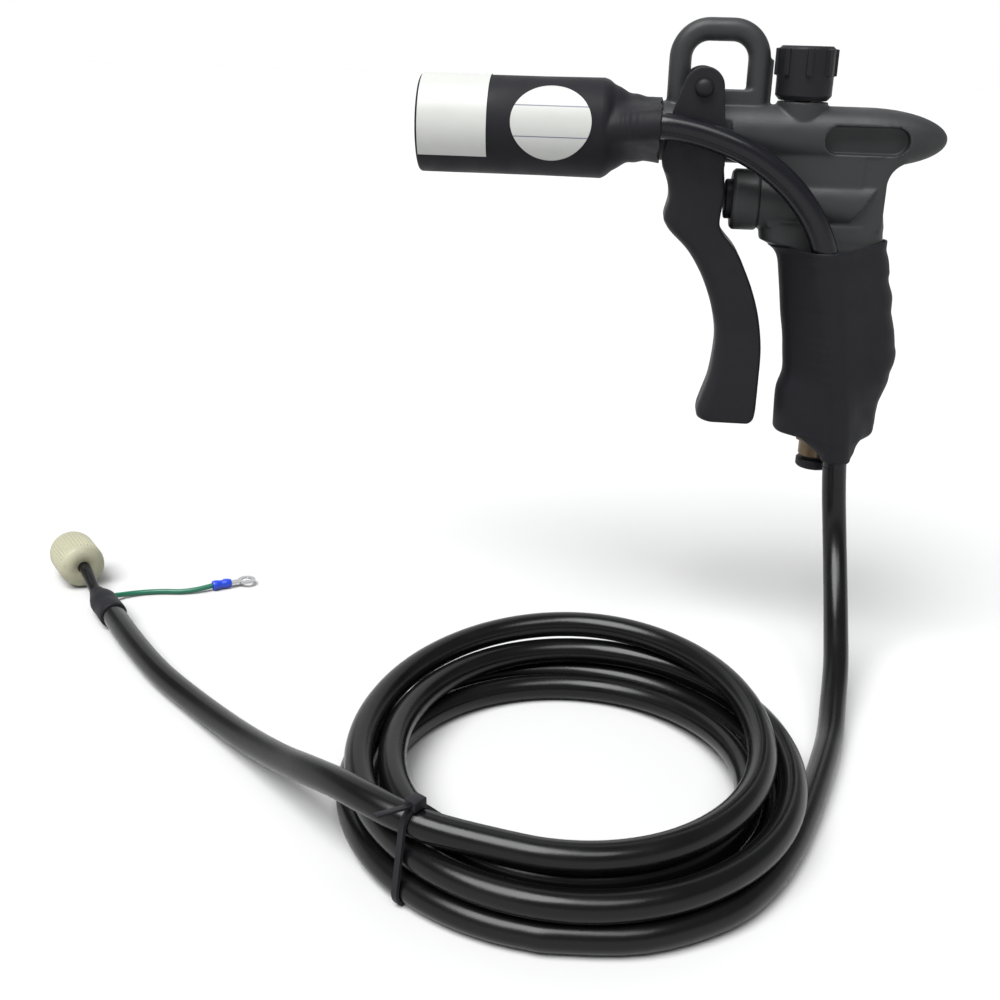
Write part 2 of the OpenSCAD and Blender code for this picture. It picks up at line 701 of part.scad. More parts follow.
// Round white label bent over the near side of the sleeve
module round_label() {
  middle = -64.5;
  lift = 9;
  r = sleeve_r + 2 * seat_gap;
  bent = 2 * r / sticker_d * sin(sticker_d / 2 / r * 180 / PI);
  color(label_white) intersection() {
    difference() {
      rod_x(middle - sticker_d, middle + sticker_d, 2 * (r + label_t), barrel_z);
      rod_x(middle - sticker_d - 1, middle + sticker_d + 1, 2 * r, barrel_z);
    }
    translate([middle, 0, barrel_z]) rotate([90 - lift, 0, 0]) scale([1, bent, 1])
      cylinder(h = 2 * tube_d, d = sticker_d);
  }
}

// Finger part section: round front edges and tight rear edges
function finger_discs(s) =
  let (half = fork_out + (finger_tip_w / 2 - fork_out) * min(1, 1.6 * s[0]),
       front = pivot_x + s[1], back = pivot_x + s[2], r = finger_edge_r, q = 1.6)
  [[front + r, half - r, r], [front + r, r - half, r], [back - q, half - q, q],
   [back - q, q - half, q]];

// Side plate of the trigger: the round ear and its run down to the finger part
module cheek_outline() {
  floor_z = barrel_z - barrel_r - 1.4;
  translate([pivot_x, pivot_z]) circle(ear_r);
  polygon([[pivot_x - ear_r * 0.9, pivot_z - ear_r * 0.42],
    [pivot_x - 11.4, pivot_z - 8.8], [pivot_x - 14.6, floor_z + 3],
    [pivot_x - 14.2, floor_z], [pivot_x - 13.2, floor_z - 3],
    [pivot_x + 10.7, floor_z - 3], [pivot_x + 10, barrel_z - 5],
    [pivot_x + ear_r, pivot_z]]);
}

module trigger_lever() {
  floor_z = barrel_z - barrel_r - 1.4;
  nub_r = 5;
  color(near_black) difference() {
    union() {
      for (side = [-1, 1]) translate([0, side * (fork_in + cheek_t / 2), 0])
        plate_y(cheek_t / 2) cheek_outline();
      loft(upward([for (s = smooth(finger_line, 2))
        disc_ring(finger_discs(s), floor_z - s[0] * finger_len, 36)]));
      rod_y(button_front - side_gap - nub_r, -6, 6, 2 * nub_r, valve_z);
    }
    rod_y(pivot_x, -2 * fork_out, 2 * fork_out, pin_d + 2 * run_fit, pivot_z);
  }
}

// Head of the pivot pin: a low dome
function dome(r, h, base) = [for (k = [0:8]) let (a = 90 * k / 8)
  [r * cos(a), base + h * sin(a)]];

module pivot_pin() {
  head = fork_out + side_gap;
  color(near_black) translate([pivot_x, 0, pivot_z]) rotate([90, 0, 0])
    rotate_extrude() polygon(concat([[0, -head - 2], [pin_d / 2, -head - 2],
      [pin_d / 2, head], [pin_d * 0.8, head]], dome(pin_d * 0.8, 2.2, head + 0.4)));
}

module pin_cap() {
  head = fork_out + side_gap;
  hole = pin_d / 2 + seat_gap;
  color(near_black) translate([pivot_x, 0, pivot_z]) rotate([-90, 0, 0])
    rotate_extrude() polygon(concat([[0, head + 2 + seat_gap], [hole, head + 2 + seat_gap],
      [hole, head], [pin_d * 0.8, head]], dome(pin_d * 0.8, 2.8, head + 0.4)));
}

// Push button with its stem, turned from one bar
module valve_stem() {
  stem_end = seat_x + seal_t + 1;
  color(near_black) turned_x(valve_z, [[0, button_front], [button_d / 2 - 0.6, button_front],
    [button_d / 2, button_front + 0.6], [button_d / 2, button_front + button_l],
    [stem_d / 2, button_front + button_l], [stem_d / 2, stem_end], [0, stem_end]]);
}

// Screwed cap that closes the housing and holds the valve seat
module valve_cap() {
  r = cap_d / 2;
  bevel = 1;
  color(body_grey) difference() {
    turned_x(valve_z, [[0, cap_front], [r - bevel, cap_front], [r, cap_front + 1.2 * bevel],
      [r, housing_front - 0.8], [r - 0.4, housing_front], [valve_bore_d / 2, housing_front],
      [valve_bore_d / 2, seat_x], [0, seat_x]]);
    rod_x(cap_front - 1, cap_front + button_seat_l, button_d + 2 * run_fit, valve_z);
    rod_x(cap_front, seat_x, stem_d + 2 * run_fit, valve_z);
    rod_x(guide_end, seat_x + 1, valve_port_d, valve_z);
    rod_z(knob_x, valve_z, valve_z + valve_bore_d, 4);
  }
}

// Rubber disc on the stem that closes the seat
module valve_seal() {
  x = seat_x + side_gap;
  color(near_black) difference() {
    rod_x(x, x + seal_t, seal_d, valve_z);
    rod_x(x - 1, x + seal_t + 1, stem_d + 2 * seat_gap, valve_z);
  }
}

module stem_o_ring() {
  wire = (valve_port_d - stem_d) / 4 - seat_gap;
  color(near_black) o_ring(guide_end + wire + seat_gap, valve_z, stem_d + 2 * run_fit,
    valve_port_d - 2 * seat_gap);
}

// Coil spring that pushes the seal back on its seat
module valve_spring() {
  from = seat_x + side_gap + seal_t + spring_wire_d / 2 + seat_gap;
  to = bore_end - spring_wire_d / 2 - seat_gap;
  r = (stem_d + valve_bore_d) / 4;
  steps = 14 * spring_turns;
  path = [for (i = [0:steps]) let (a = 360 * spring_turns * i / steps)
    [from + (to - from) * i / steps, r * cos(a), valve_z + r * sin(a)]];
  color(steel) sweep(path, spring_wire_d, 6, [1, 0, 0]);
}

// Ribbed knob with its spindle
module regulator_knob() {
  r = knob_d / 2;
  top = knob_bottom + knob_h;
  band = top - knob_band_h;
  rib_w = 2.2;
  color(near_black) translate([knob_x, 0, 0]) {
    rotate_extrude() polygon([[0, boss_top - spindle_l], [spindle_d / 2, boss_top - spindle_l],
      [spindle_d / 2, knob_bottom], [r - 1.6, knob_bottom], [r - 0.4, knob_bottom + 1.4],
      [r, knob_bottom + 1.8], [r, top - 1.2], [r - 1.2, top], [r - 4, top],
      [r - 4.6, top - 0.6], [0, top - 0.6]]);
    for (k = [0:knob_ribs - 1]) rotate([0, 0, 360 * k / knob_ribs])
      translate([r - 1, -rib_w / 2, band]) cube([1 + knob_rib_h, rib_w, knob_band_h - 1]);
  }
}

// Screwed gland that guides the spindle
module regulator_gland() {
  color(brass) difference() {
    rod_z(knob_x, boss_top - gland_l, boss_top, gland_d);
    rod_z(knob_x, boss_top - gland_l - 1, boss_top + 1, spindle_d + 2 * run_fit);
  }
}

// Needle that throttles the air, lowered by the spindle's thread
module regulator_needle() {
  r = air_d / 2 - 0.4;
  tip = barrel_z + 1;
  color(brass) translate([knob_x, 0, 0])
    rotate_extrude() polygon([[0, tip], [0.6, tip], [r, tip + 3], [r, needle_top], [0, needle_top]]);
}

module regulator_o_ring() {
  in_d = air_d - 0.8 + 2 * run_fit;
  out_d = air_d + 0.6 - seat_gap;
  wire = (out_d - in_d) / 4;
  color(near_black) translate([knob_x, 0, needle_top - 2]) rotate_extrude()
    translate([in_d / 2 + wire, 0]) circle(wire, $fn = 16);
}

// Discs of the grip's section at height z, round handle and slanting cable, with a wall
function grip_discs(s, wall, in = 0) =
  let (z = handle_z(s[0]), r = cable_r + 4 * seat_gap + wall, high = on_path(upper_route, z + 2.5),
       low = on_path(upper_route, z - 2.5))
  concat(handle_discs(s, 3 * seat_gap + wall - in), [[high[0], high[1], r], [low[0], low[1], r]]);

// Upper edge that rises from the middle of the handle to its rear
function rim_ring(ring) =
  let (x = [for (q = ring) q[0]], mid = (min(x) + max(x)) / 2)
  [for (q = ring) q + [0, 0, rim_rise * max(0, q[0] - mid) / (max(x) - mid)]];

// Gaiter under the handle: [share of its length, front, back, corner radius, corners behind cable]
gaiter_line = [[0, 45, 70.2, 1.9, 5.4], [0.4, 47.4, 69.8, 2.6, 4], [0.8, 52.8, 67.6, 3.2, 2.6],
  [1, 0, 0, 0, 0]];

function gaiter_z(share) =
  let (top = handle_bottom - 3 * seat_gap) top + share * (handle_bottom - gaiter_len - top);

function gaiter_discs(s, wall) =
  let (p = on_path(upper_route, gaiter_z(s[0])), r = cable_r + (s[0] == 0 ? 2 : 4) * seat_gap + wall,
       y = p[1] + s[4], in = s[3] + sleeve_wall)
  s[0] == 1 ? [[p[0], p[1], r]]
    : [[p[0], p[1], r], [s[1] + in, y, s[3] + wall], [s[2] - in, y, s[3] + wall]];

// Rings of the sleeve's outer or inner face where it covers the handle, lowest first
function grip_rings(wall) =
  let (covered = [for (s = handle_stations) if (handle_z(s[0]) < grip_top) s],
       first = grip_discs(handle_at(grip_top_drop / (grip_top_drop + grip_len)), wall),
       last = grip_discs(covered[len(covered) - 1], wall, skirt_in))
  upward(concat([rim_ring(disc_ring(first, grip_top, 36))],
    [for (s = covered) disc_ring(grip_discs(s, wall), handle_z(s[0]), 36)],
    [disc_ring(last, handle_bottom - skirt_h, 36)]));

// The same where it closes on the cable, from just under the handle
function gaiter_rings(wall) =
  upward([for (s = gaiter_line) disc_ring(gaiter_discs(s, wall), gaiter_z(s[0]), 36)]);

// Heat-shrink sleeve over the handle and the cable beside it
module grip_sleeve() {
  color(near_black) union() {
    shell(grip_rings(sleeve_wall), grip_rings(0));
    shell(gaiter_rings(sleeve_wall), gaiter_rings(0));
  }
}

// Cable that the gun holds, from the nozzle to the grip's lower end
module cable_upper() {
  color(cable_black) sweep(upper_route, cable_d, 12, [1, 1, 1]);
}

// Push-in fitting screwed into the handle's bottom
module air_fitting() {
  collar_d = hex_w - 0.6;
  socket_top = fitting_bottom + ring_sleeve_clear() + socket_l;
  color(brass) difference() {
    union() {
      rod_z(fitting_x, handle_bottom, handle_bottom + shank_l, shank_d);
      translate([fitting_x, 0, handle_bottom - hex_h])
        cylinder(h = hex_h, d = hex_w / cos(30), $fn = 6);
      rod_z(fitting_x, fitting_bottom, handle_bottom - hex_h, collar_d);
    }
    rod_z(fitting_x, fitting_bottom - 1, fitting_bottom + ring_sleeve_clear(),
      ring_sleeve_d + 2 * run_fit);
    rod_z(fitting_x, fitting_bottom, socket_top, air_tube_d + 0.2);
    rod_z(fitting_x, fitting_bottom, handle_bottom + shank_l + 1, air_d);
  }
}

function ring_sleeve_clear() = 6;

// Release ring with the sleeve that opens the fitting's grip on the tube
module release_ring() {
  sleeve_top = fitting_bottom + ring_sleeve_clear() - ring_travel - 2.6;
  color(near_black) translate([fitting_x, 0, 0]) rotate_extrude()
    polygon([[ring_bore_d / 2, sleeve_top], [ring_sleeve_d / 2, sleeve_top],
      [ring_sleeve_d / 2, ring_top], [ring_d / 2 - 0.5, ring_top], [ring_d / 2, ring_top - 0.5],
      [ring_d / 2, ring_top - ring_h + 0.8], [ring_d / 2 - 0.8, ring_top - ring_h],
      [ring_bore_d / 2 + 0.5, ring_top - ring_h], [ring_bore_d / 2, ring_top - ring_h + 0.5]]);
}

// Rubber ring above the release sleeve that seals on the tube
module tube_seal() {
  in_d = air_tube_d + 0.3;
  out_d = ring_sleeve_d;
  wire = (out_d - in_d) / 4;
  color(near_black) translate([fitting_x, 0, fitting_bottom + ring_sleeve_clear() - wire - seat_gap])
    rotate_extrude() translate([in_d / 2 + wire, 0]) circle(wire, $fn = 16);
}

module cable_drop() {
  color(cable_black) sweep(smooth(drop_path, 1), cable_d, 12, [1, -1, 1]);
}

// Coiled bundle of the spare cable
module cable_coil() {
  section = soft_rect(coil_w, coil_h, 6);
  color(cable_black) translate([coil_x, coil_y, floor_z + tie_t + 0.4 + coil_h / 2])
    closed_loft([for (a = [352.5:-7.5:0])
      [for (q = section) [coil_squash * (coil_r + q[0]) * cos(a), (coil_r + q[0]) * sin(a), q[1]]]]);
}

module cable_tail() {
  color(cable_black) sweep(smooth(tail_path, 1), cable_d, 12, [0, 0, 1]);
}

// Tie round the bundle where the cable leaves it
module cable_tie() {
  gap = 0.4;
  outer = 2 * (tie_t + gap);
  u = [coil_squash * cos(tie_angle), sin(tie_angle)];
  lean = atan2(sin(tie_angle), coil_squash * cos(tie_angle));
  width = coil_w * norm(u);
  color(near_black)
    translate([coil_x + coil_r * u[0], coil_y + coil_r * u[1], floor_z + tie_t + 0.4 + coil_h / 2])
      rotate([0, 0, lean]) translate([0, tie_w / 2, 0]) rotate([90, 0, 0])
        linear_extrude(tie_w) difference() {
          polygon(soft_rect(width + outer, coil_h + outer, 6 + tie_t));
          polygon(soft_rect(width + 2 * gap, coil_h + 2 * gap, 6));
        }
}

// Things on the cable's end, placed along its last direction and lying on the floor
module at_end(lift) {
  translate([boot_start[0], boot_start[1], floor_z + lift]) rotate([0, 0, boot_angle])
    rotate([0, 90, 0]) children();
}

// Boot that closes the cable's end where lead and earth wire part
module cable_boot() {
  color(near_black) at_end(boot_d / 2) rotate_extrude()
    polygon([[0, 0], [boot_d / 2 - 0.4, 0], [boot_d / 2, 1], [boot_d / 2, boot_l * 0.6],
      [boot_d / 2 - 0.8, boot_l * 0.75], [boot_end_d / 2, boot_l - 1], [boot_end_d / 2 - 0.4, boot_l],
      [0, boot_l]]);
}

nut_start = boot_l + lead_out;
nut_lift = nut_d / 2 + 0.2;
lead_hole_d = lead_d + 2 * run_fit;
cup_r = nut_d / 2 - nut_wall;

// Bare lead from the boot up into the coupling nut
module inner_lead() {
  u = [cos(boot_angle), sin(boot_angle), 0];
  foot = [boot_start[0], boot_start[1], floor_z];
  low = foot + [0, 0, boot_d / 2];
  high = foot + [0, 0, nut_lift];
  path = [low + boot_l * u, low + (boot_l + 3) * u, high + (nut_start - 4) * u, high + nut_start * u,
    high + (nut_start + nut_end_t + side_gap) * u];
  color(cable_black) sweep(path, lead_d, 12, [0, 0, 1]);
}

// Ribbed coupling nut that turns on the lead's plug
module coupling_nut() {
  r = nut_d / 2;
  rib = 0.5;
  color(beige) at_end(nut_lift) difference() {
    union() {
      rotate_extrude() polygon([[0, nut_start], [r - 3.4, nut_start], [r - 1, nut_start + 1.4],
        [r - rib, nut_start + 3], [r - rib, nut_start + nut_l], [0, nut_start + nut_l]]);
      for (k = [0:nut_ribs - 1]) rotate([0, 0, 360 * k / nut_ribs])
        translate([r - 2 * rib, -0.35, nut_start + 4]) cube([2 * rib, 0.7, nut_l - 5]);
    }
    translate([0, 0, nut_start - 1]) cylinder(h = nut_end_t + 2, d = lead_hole_d);
    translate([0, 0, nut_start + nut_end_t]) cylinder(h = nut_l, r = cup_r);
  }
}

// Insulating plug on the lead's end, inside the nut
module lead_plug() {
  from = nut_start + nut_end_t + side_gap;
  color(label_white) at_end(nut_lift) difference() {
    translate([0, 0, from]) cylinder(h = plug_len, r = cup_r - side_gap);
    translate([0, 0, from + plug_len - 2]) cylinder(h = 3, d = contact_d + 2 * seat_gap);
  }
}

module contact_pin() {
  from = nut_start + nut_end_t + side_gap + plug_len - 2;
  r = contact_d / 2;
  color(brass) at_end(nut_lift) rotate_extrude()
    polygon([[0, from], [r, from], [r, from + contact_l - 0.6], [r - 0.5, from + contact_l],
      [0, from + contact_l]]);
}

module earth_wire() {
  color(wire_green) sweep(smooth(earth_path, 1), earth_wire_d, 8, [0, 0, 1]);
}

module at_terminal(lift) {
  translate([terminal_start[0], terminal_start[1], terminal_start[2] + lift])
    rotate([0, 0, terminal_angle]) children();
}

sleeve_len = 9;
sleeve_out_d = earth_wire_d + 2.2;

// Crimped insulating sleeve of the ring terminal
module terminal_sleeve() {
  lift = sleeve_out_d / 2 + floor_z - terminal_start[2];
  color(sleeve_blue) at_terminal(lift) rotate([0, 90, 0])
    rotate_extrude() polygon([[0, 0], [sleeve_out_d / 2 - 0.4, 0], [sleeve_out_d / 2, 0.8],
      [sleeve_out_d / 2, sleeve_len * 0.7], [sleeve_out_d / 2 - 0.5, sleeve_len], [0, sleeve_len]]);
}

// Tinned ring terminal for the earth stud
module terminal_ring() {
  lift = sleeve_out_d / 2 + floor_z - terminal_start[2];
  neck_l = 3.4;
  middle = sleeve_len + neck_l + ring_out_d / 2;
  color(steel) at_terminal(lift) translate([0, 0, -ring_t / 2]) difference() {
    union() {
      translate([middle, 0, 0]) cylinder(h = ring_t, d = ring_out_d);
      translate([sleeve_len, -1.8, 0]) cube([neck_l + 2, 3.6, ring_t]);
    }
    translate([middle, 0, -1]) cylinder(h = ring_t + 2, d = ring_hole_d);
  }
}

gun_body();
nozzle_adapter();
nozzle_tube();
earth_ring();
needle_holder();
emitter_needle();
needle_lead();
nozzle_sleeve();
wrap_label();
round_label();
trigger_lever();
pivot_pin();
pin_cap();
valve_stem();
valve_cap();
valve_seal();
stem_o_ring();
valve_spring();
regulator_knob();
regulator_gland();
regulator_needle();
regulator_o_ring();
grip_sleeve();
cable_upper();
air_fitting();
release_ring();
tube_seal();
cable_drop();
cable_coil();
cable_tail();
cable_tie();
cable_boot();
inner_lead();
coupling_nut();
lead_plug();
contact_pin();
earth_wire();
terminal_sleeve();
terminal_ring();
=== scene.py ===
"""Handheld ionizing air gun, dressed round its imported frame. Metres, as in the frame."""
import math

import bmesh
import bpy
from bpy.props import FloatProperty, FloatVectorProperty, IntProperty, PointerProperty
from mathutils import Matrix, Vector, noise


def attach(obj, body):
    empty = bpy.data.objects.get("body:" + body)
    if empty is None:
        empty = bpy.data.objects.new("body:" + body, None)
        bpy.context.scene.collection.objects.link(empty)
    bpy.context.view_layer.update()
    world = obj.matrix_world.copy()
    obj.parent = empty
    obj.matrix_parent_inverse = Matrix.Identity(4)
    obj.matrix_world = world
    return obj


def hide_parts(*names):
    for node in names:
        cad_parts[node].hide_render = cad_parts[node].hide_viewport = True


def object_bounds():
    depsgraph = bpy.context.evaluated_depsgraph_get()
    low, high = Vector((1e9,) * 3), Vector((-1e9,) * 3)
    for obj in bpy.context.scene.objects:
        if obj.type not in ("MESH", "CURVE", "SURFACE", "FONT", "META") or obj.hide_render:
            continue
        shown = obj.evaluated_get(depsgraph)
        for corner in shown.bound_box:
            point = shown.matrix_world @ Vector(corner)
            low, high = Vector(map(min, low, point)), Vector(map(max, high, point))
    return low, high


bl_info = {
    "name": "Ionizing Air Gun",
    "version": (1, 0, 0),
    "blender": (4, 5, 0),
    "location": "View3D > Sidebar > Air Gun",
    "description": "Body, nozzle, trigger, grip and coiled cable of a handheld ionizing air gun",
    "category": "Object",
}

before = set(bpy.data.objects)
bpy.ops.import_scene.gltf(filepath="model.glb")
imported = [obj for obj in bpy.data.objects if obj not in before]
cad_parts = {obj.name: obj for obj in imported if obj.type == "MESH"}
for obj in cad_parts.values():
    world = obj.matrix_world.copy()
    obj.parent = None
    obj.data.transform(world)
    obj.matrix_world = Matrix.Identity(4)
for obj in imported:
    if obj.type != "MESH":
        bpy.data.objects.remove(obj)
CAD_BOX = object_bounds()
FLOOR = CAD_BOX[0].z

# Camera
EYE = (-0.0311, -0.5281, -0.0019)
EYE_YAW, EYE_PITCH, EYE_ROLL = 5.5, 20.2, 1.65
LENS_MM, SENSOR_MM = 45, 36

# Floor, lamps (strength, softness and turn in degrees), and the grey seen from the horizon up
FLOOR_HALF, FLOOR_GAP, FLOOR_GREY = 9.0, 0.0002, 0.505
LAMPS = [
    ("overhead", 5.2, 42, (22, -18, 0)), ("front", 0.9, 24, (26, 16, 0)),
    ("back", 0.6, 60, (-50, -10, 0)),
]
SKY = [(0.12, (1, 1, 1, 1)), (0.34, (0.24, 0.245, 0.25, 1))]

# Gun: axes and edges that several pieces share
BARREL_Z = -0.0344
BARREL_R = 0.0115
PIVOT = (-0.0058, -0.0172)
FORK_IN, FORK_OUT = 0.0104, 0.0134
NOZZLE_FRONT = -0.1185
NOZZLE_R = 0.0184
SLEEVE_END = -0.0218
GRIP_TOP, HANDLE_BOTTOM = -0.0774, -0.154
HANDLE_HALF_W = 0.012
RIM_RISE, SKIRT, SKIRT_IN = 0.0032, 0.0022, 0.0014
# Sleeves' inner radius round the cable, and the grip's slack round the handle
CABLE_HUG, GAITER_HUG, GRIP_SLACK = 0.0054, 0.0053, 0.0003
GRIP_POINTS = 120
STICKER_LINES = (-0.0255, -0.0372)
# Barrel's full round behind the ears, from and to
SHOULDER = (0.0064, 0.0105)
# Back of the neck, from inside it: height, back, half width, corner radius
NECK_INSIDE = 0.05
NECK_BACK = [
    (-0.0585, 0.0688, 0.0086, 0.003), (-0.0687, 0.0706, 0.0088, 0.006),
    (-0.0735, 0.0713, 0.0093, 0.0092), (-0.0785, 0.0719, 0.0098, 0.0097),
]

# Trigger: ears that lap over the finger, pin hole, and the rib that meets the valve's button
EAR_R, EAR_LAP, PIN_HOLE_R = 0.008, 0.003, 0.00233
NUB, NUB_R, NUB_HALF = (0.0008, -0.0601), 0.005, 0.006
# Trigger finger: share of its length, front and back from the pivot
FINGER_TOP, FINGER_LENGTH, FINGER_TIP_HALF = -0.0473, 0.1052, 0.0095
FINGER_FRONT_R, FINGER_BACK_R, FINGER_TAPER = 0.005, 0.0016, 1.6
FINGER_LINE = [
    (0, -0.0142, 0.0105), (0.06, -0.0116, 0.0112), (0.12, -0.0106, 0.0112),
    (0.19, -0.0121, 0.0105), (0.22, -0.011, 0.0109), (0.25, -0.0086, 0.0128),
    (0.31, -0.002, 0.0184), (0.38, 0.0032, 0.0224), (0.46, 0.0074, 0.0262),
    (0.55, 0.0108, 0.0294), (0.64, 0.0128, 0.0314), (0.72, 0.0128, 0.0323),
    (0.82, 0.0116, 0.0324), (0.9, 0.0092, 0.0324), (0.95, 0.0078, 0.0323),
    (0.985, 0.008, 0.0316), (1, 0.0108, 0.0298),
]
# Handle: share of the way down from the barrel's axis, front, back, share of its half width
HANDLE_LINE = [
    (0.287, 0.0206, 0.0706, 0.78), (0.343, 0.0216, 0.0716, 0.81), (0.366, 0.0276, 0.0722, 0.85),
    (0.4, 0.0308, 0.0736, 0.88), (0.46, 0.0323, 0.0748, 0.92), (0.533, 0.0336, 0.077, 0.95),
    (0.62, 0.0353, 0.0794, 0.98), (0.68, 0.0365, 0.0809, 1), (0.735, 0.0373, 0.0814, 1),
    (0.8, 0.0379, 0.0805, 1), (0.86, 0.0363, 0.0785, 1), (0.93, 0.0361, 0.0769, 1),
    (1, 0.0364, 0.0762, 0.95),
]
# Gaiter under the handle: share of its length, front, back, corner radius, corners behind cable
GAITER_START, GAITER_LENGTH, GAITER_INSET = 0.0003, 0.0098, 0.0009
GAITER_LINE = [
    (0, 0.043, 0.0716, 0.0019, 0.0054), (0.4, 0.0482, 0.0691, 0.0026, 0.004),
    (0.7, 0.0522, 0.0681, 0.0032, 0.0026), (1, 0.055, 0.0659, 0.0045, 0.0004),
]
# Slack folds down the grip's back: height, how far they stand out
REAR_FOLDS = [
    (-0.077, 0), (-0.085, 0.0001), (-0.0869, 0.0002), (-0.0897, -0.0004), (-0.093, 0),
    (-0.0958, 0.0004), (-0.0991, 0), (-0.1025, -0.0007), (-0.1054, -0.0006), (-0.1101, -0.0003),
    (-0.1145, -0.0004), (-0.1174, -0.0004), (-0.1193, 0), (-0.1233, 0), (-0.1258, -0.0002),
    (-0.1283, -0.0006), (-0.1318, -0.0002), (-0.1354, -0.0001), (-0.141, -0.0006),
    (-0.1436, -0.0005), (-0.1503, 0), (-0.158, 0),
]
# Nozzle sleeve's rear: distance in front of its end, share of the way down to the barrel
SLEEVE_LINE = [
    (0.0228, -0.03), (0.0204, 0.12), (0.0178, 0.43), (0.0144, 0.71), (0.0094, 0.92),
    (0.0044, 0.99), (0, 1),
]

# Cable held by the gun, from the nozzle to the grip's lower end
UPPER_ROUTE = [
    (-0.046, -0.012, -0.0344), (-0.038, -0.0136, -0.034), (-0.028, -0.0174, -0.0324),
    (-0.02, -0.0192, -0.0316), (-0.009, -0.0192, -0.0332), (0.003, -0.0192, -0.0366),
    (0.014, -0.0192, -0.0412), (0.024, -0.0192, -0.0476), (0.033, -0.0188, -0.0556),
    (0.041, -0.0184, -0.066), (0.0465, -0.018, -0.078), (0.0505, -0.0176, -0.094),
    (0.054, -0.0174, -0.112), (0.057, -0.0172, -0.132), (0.059, -0.017, -0.148),
    (0.06, -0.017, -0.157), (0.0605, -0.017, -0.166),
]
LEAD_ROUTE = [
    (-0.046, -0.012, -0.0344), (-0.054, -0.012, -0.0344), (-0.062, -0.0116, -0.0344),
    (-0.072, -0.008, -0.0344), (-0.08, -0.003, -0.0344), (-0.086, 0, -0.0344),
]
# Free cable: down from the grip, round the coil, and out to the boot
DROP_ROUTE = [
    (0.0605, -0.017, -0.166), (0.0617, -0.0172, -0.178), (0.063, -0.019, -0.19),
    (0.0638, -0.025, -0.202), (0.0639, -0.036, -0.214), (0.0632, -0.051, -0.225),
    (0.0618, -0.068, -0.234), (0.059, -0.086, -0.241), (0.0558, -0.104, -0.2446),
    (0.0512, -0.122, -0.245), (0.0456, -0.141, -0.245), (0.0392, -0.161, -0.245),
    (0.0316, -0.181, -0.245), (0.0215, -0.2, -0.245),
]
TAIL_ROUTE = [
    (-0.076, -0.2145, -0.2244), (-0.089, -0.21, -0.2234), (-0.101, -0.203, -0.223),
    (-0.112, -0.194, -0.2244), (-0.125, -0.181, -0.229), (-0.14, -0.1645, -0.2355),
    (-0.16, -0.143, -0.2415), (-0.183, -0.12, -0.2446), (-0.207, -0.097, -0.245),
    (-0.228, -0.073, -0.2444), (-0.246, -0.05, -0.244),
]
EARTH_ROUTE = [
    (-0.26, -0.03, -0.2456), (-0.2585, -0.025, -0.2468), (-0.255, -0.02, -0.248),
    (-0.25, -0.016, -0.2486), (-0.244, -0.0132, -0.2488), (-0.237, -0.0115, -0.2488),
    (-0.23, -0.0105, -0.2488), (-0.223, -0.008, -0.2483), (-0.217, -0.004, -0.2477),
]
COIL_CENTRE = (-0.04, -0.148)
COIL_SQUASH = 0.92
# Coil's turns, a quarter turn apart: radius and height over the floor
COIL_FROM, COIL_TO = -38, 1460
COIL_LEAD_IN = [(COIL_FROM, 0.085, 0.005), (COIL_FROM / 2, 0.0842, 0.005)]
COIL_QUARTERS = [
    (0.083, 0.005), (0.083, 0.005), (0.0795, 0.005), (0.077, 0.005), (0.073, 0.005),
    (0.072, 0.0055), (0.067, 0.005), (0.0665, 0.01), (0.0705, 0.0152), (0.068, 0.0153),
    (0.0795, 0.015), (0.082, 0.0145), (0.082, 0.015), (0.08, 0.0175), (0.083, 0.025),
    (0.0705, 0.023), (0.073, 0.025), (0.0735, 0.0265),
]
# Tie: turn, radius and height of its middle, reach, head, and loose end
TIE_TURN, TIE_RADIUS, TIE_HEIGHT, TIE_REACH = 37, 0.077, 0.015, 0.03
TIE_HEAD, TIE_HEAD_LIFT = (0.0052, 0.0044, 0.0034), 0.0006
TIE_END_LENGTH, TIE_END_T, TIE_END_LIFT, TIE_END_LEAN = 0.017, 0.0009, 0.0016, -14

# Cable end: it lies along this direction from the boot's start
END_START = (-0.246, -0.05)
END_AXIS = Vector((math.cos(math.radians(128)), math.sin(math.radians(128)), 0))
BOOT_R, BOOT_LENGTH = 0.006, 0.028
NUT_FROM, NUT_LENGTH, NUT_LIFT = 0.048, 0.024, 0.0107
NUT_HOLE_R, NUT_FLOOR, RIB_FULLNESS = 0.0026, 0.005, 0.7
TERMINAL_START = (-0.217, -0.004)
TERMINAL_AXIS = Vector((math.cos(math.radians(34)), math.sin(math.radians(34)), 0))
CRIMP_R, CRIMP_LENGTH = 0.0023, 0.009


def linear(red, green, blue):
    """Screen colour in 0 to 255 as linear light."""
    return tuple(((c / 255 + 0.055) / 1.055) ** 2.4 for c in (red, green, blue))


def colour_prop(name, description, rgb):
    return FloatVectorProperty(name=name, description=description, default=linear(*rgb),
                               subtype="COLOR", size=3, min=0, max=1)


def length_prop(name, description, default):
    return FloatProperty(name=name, description=description, default=default, min=0,
                         subtype="DISTANCE", unit="LENGTH", precision=5)


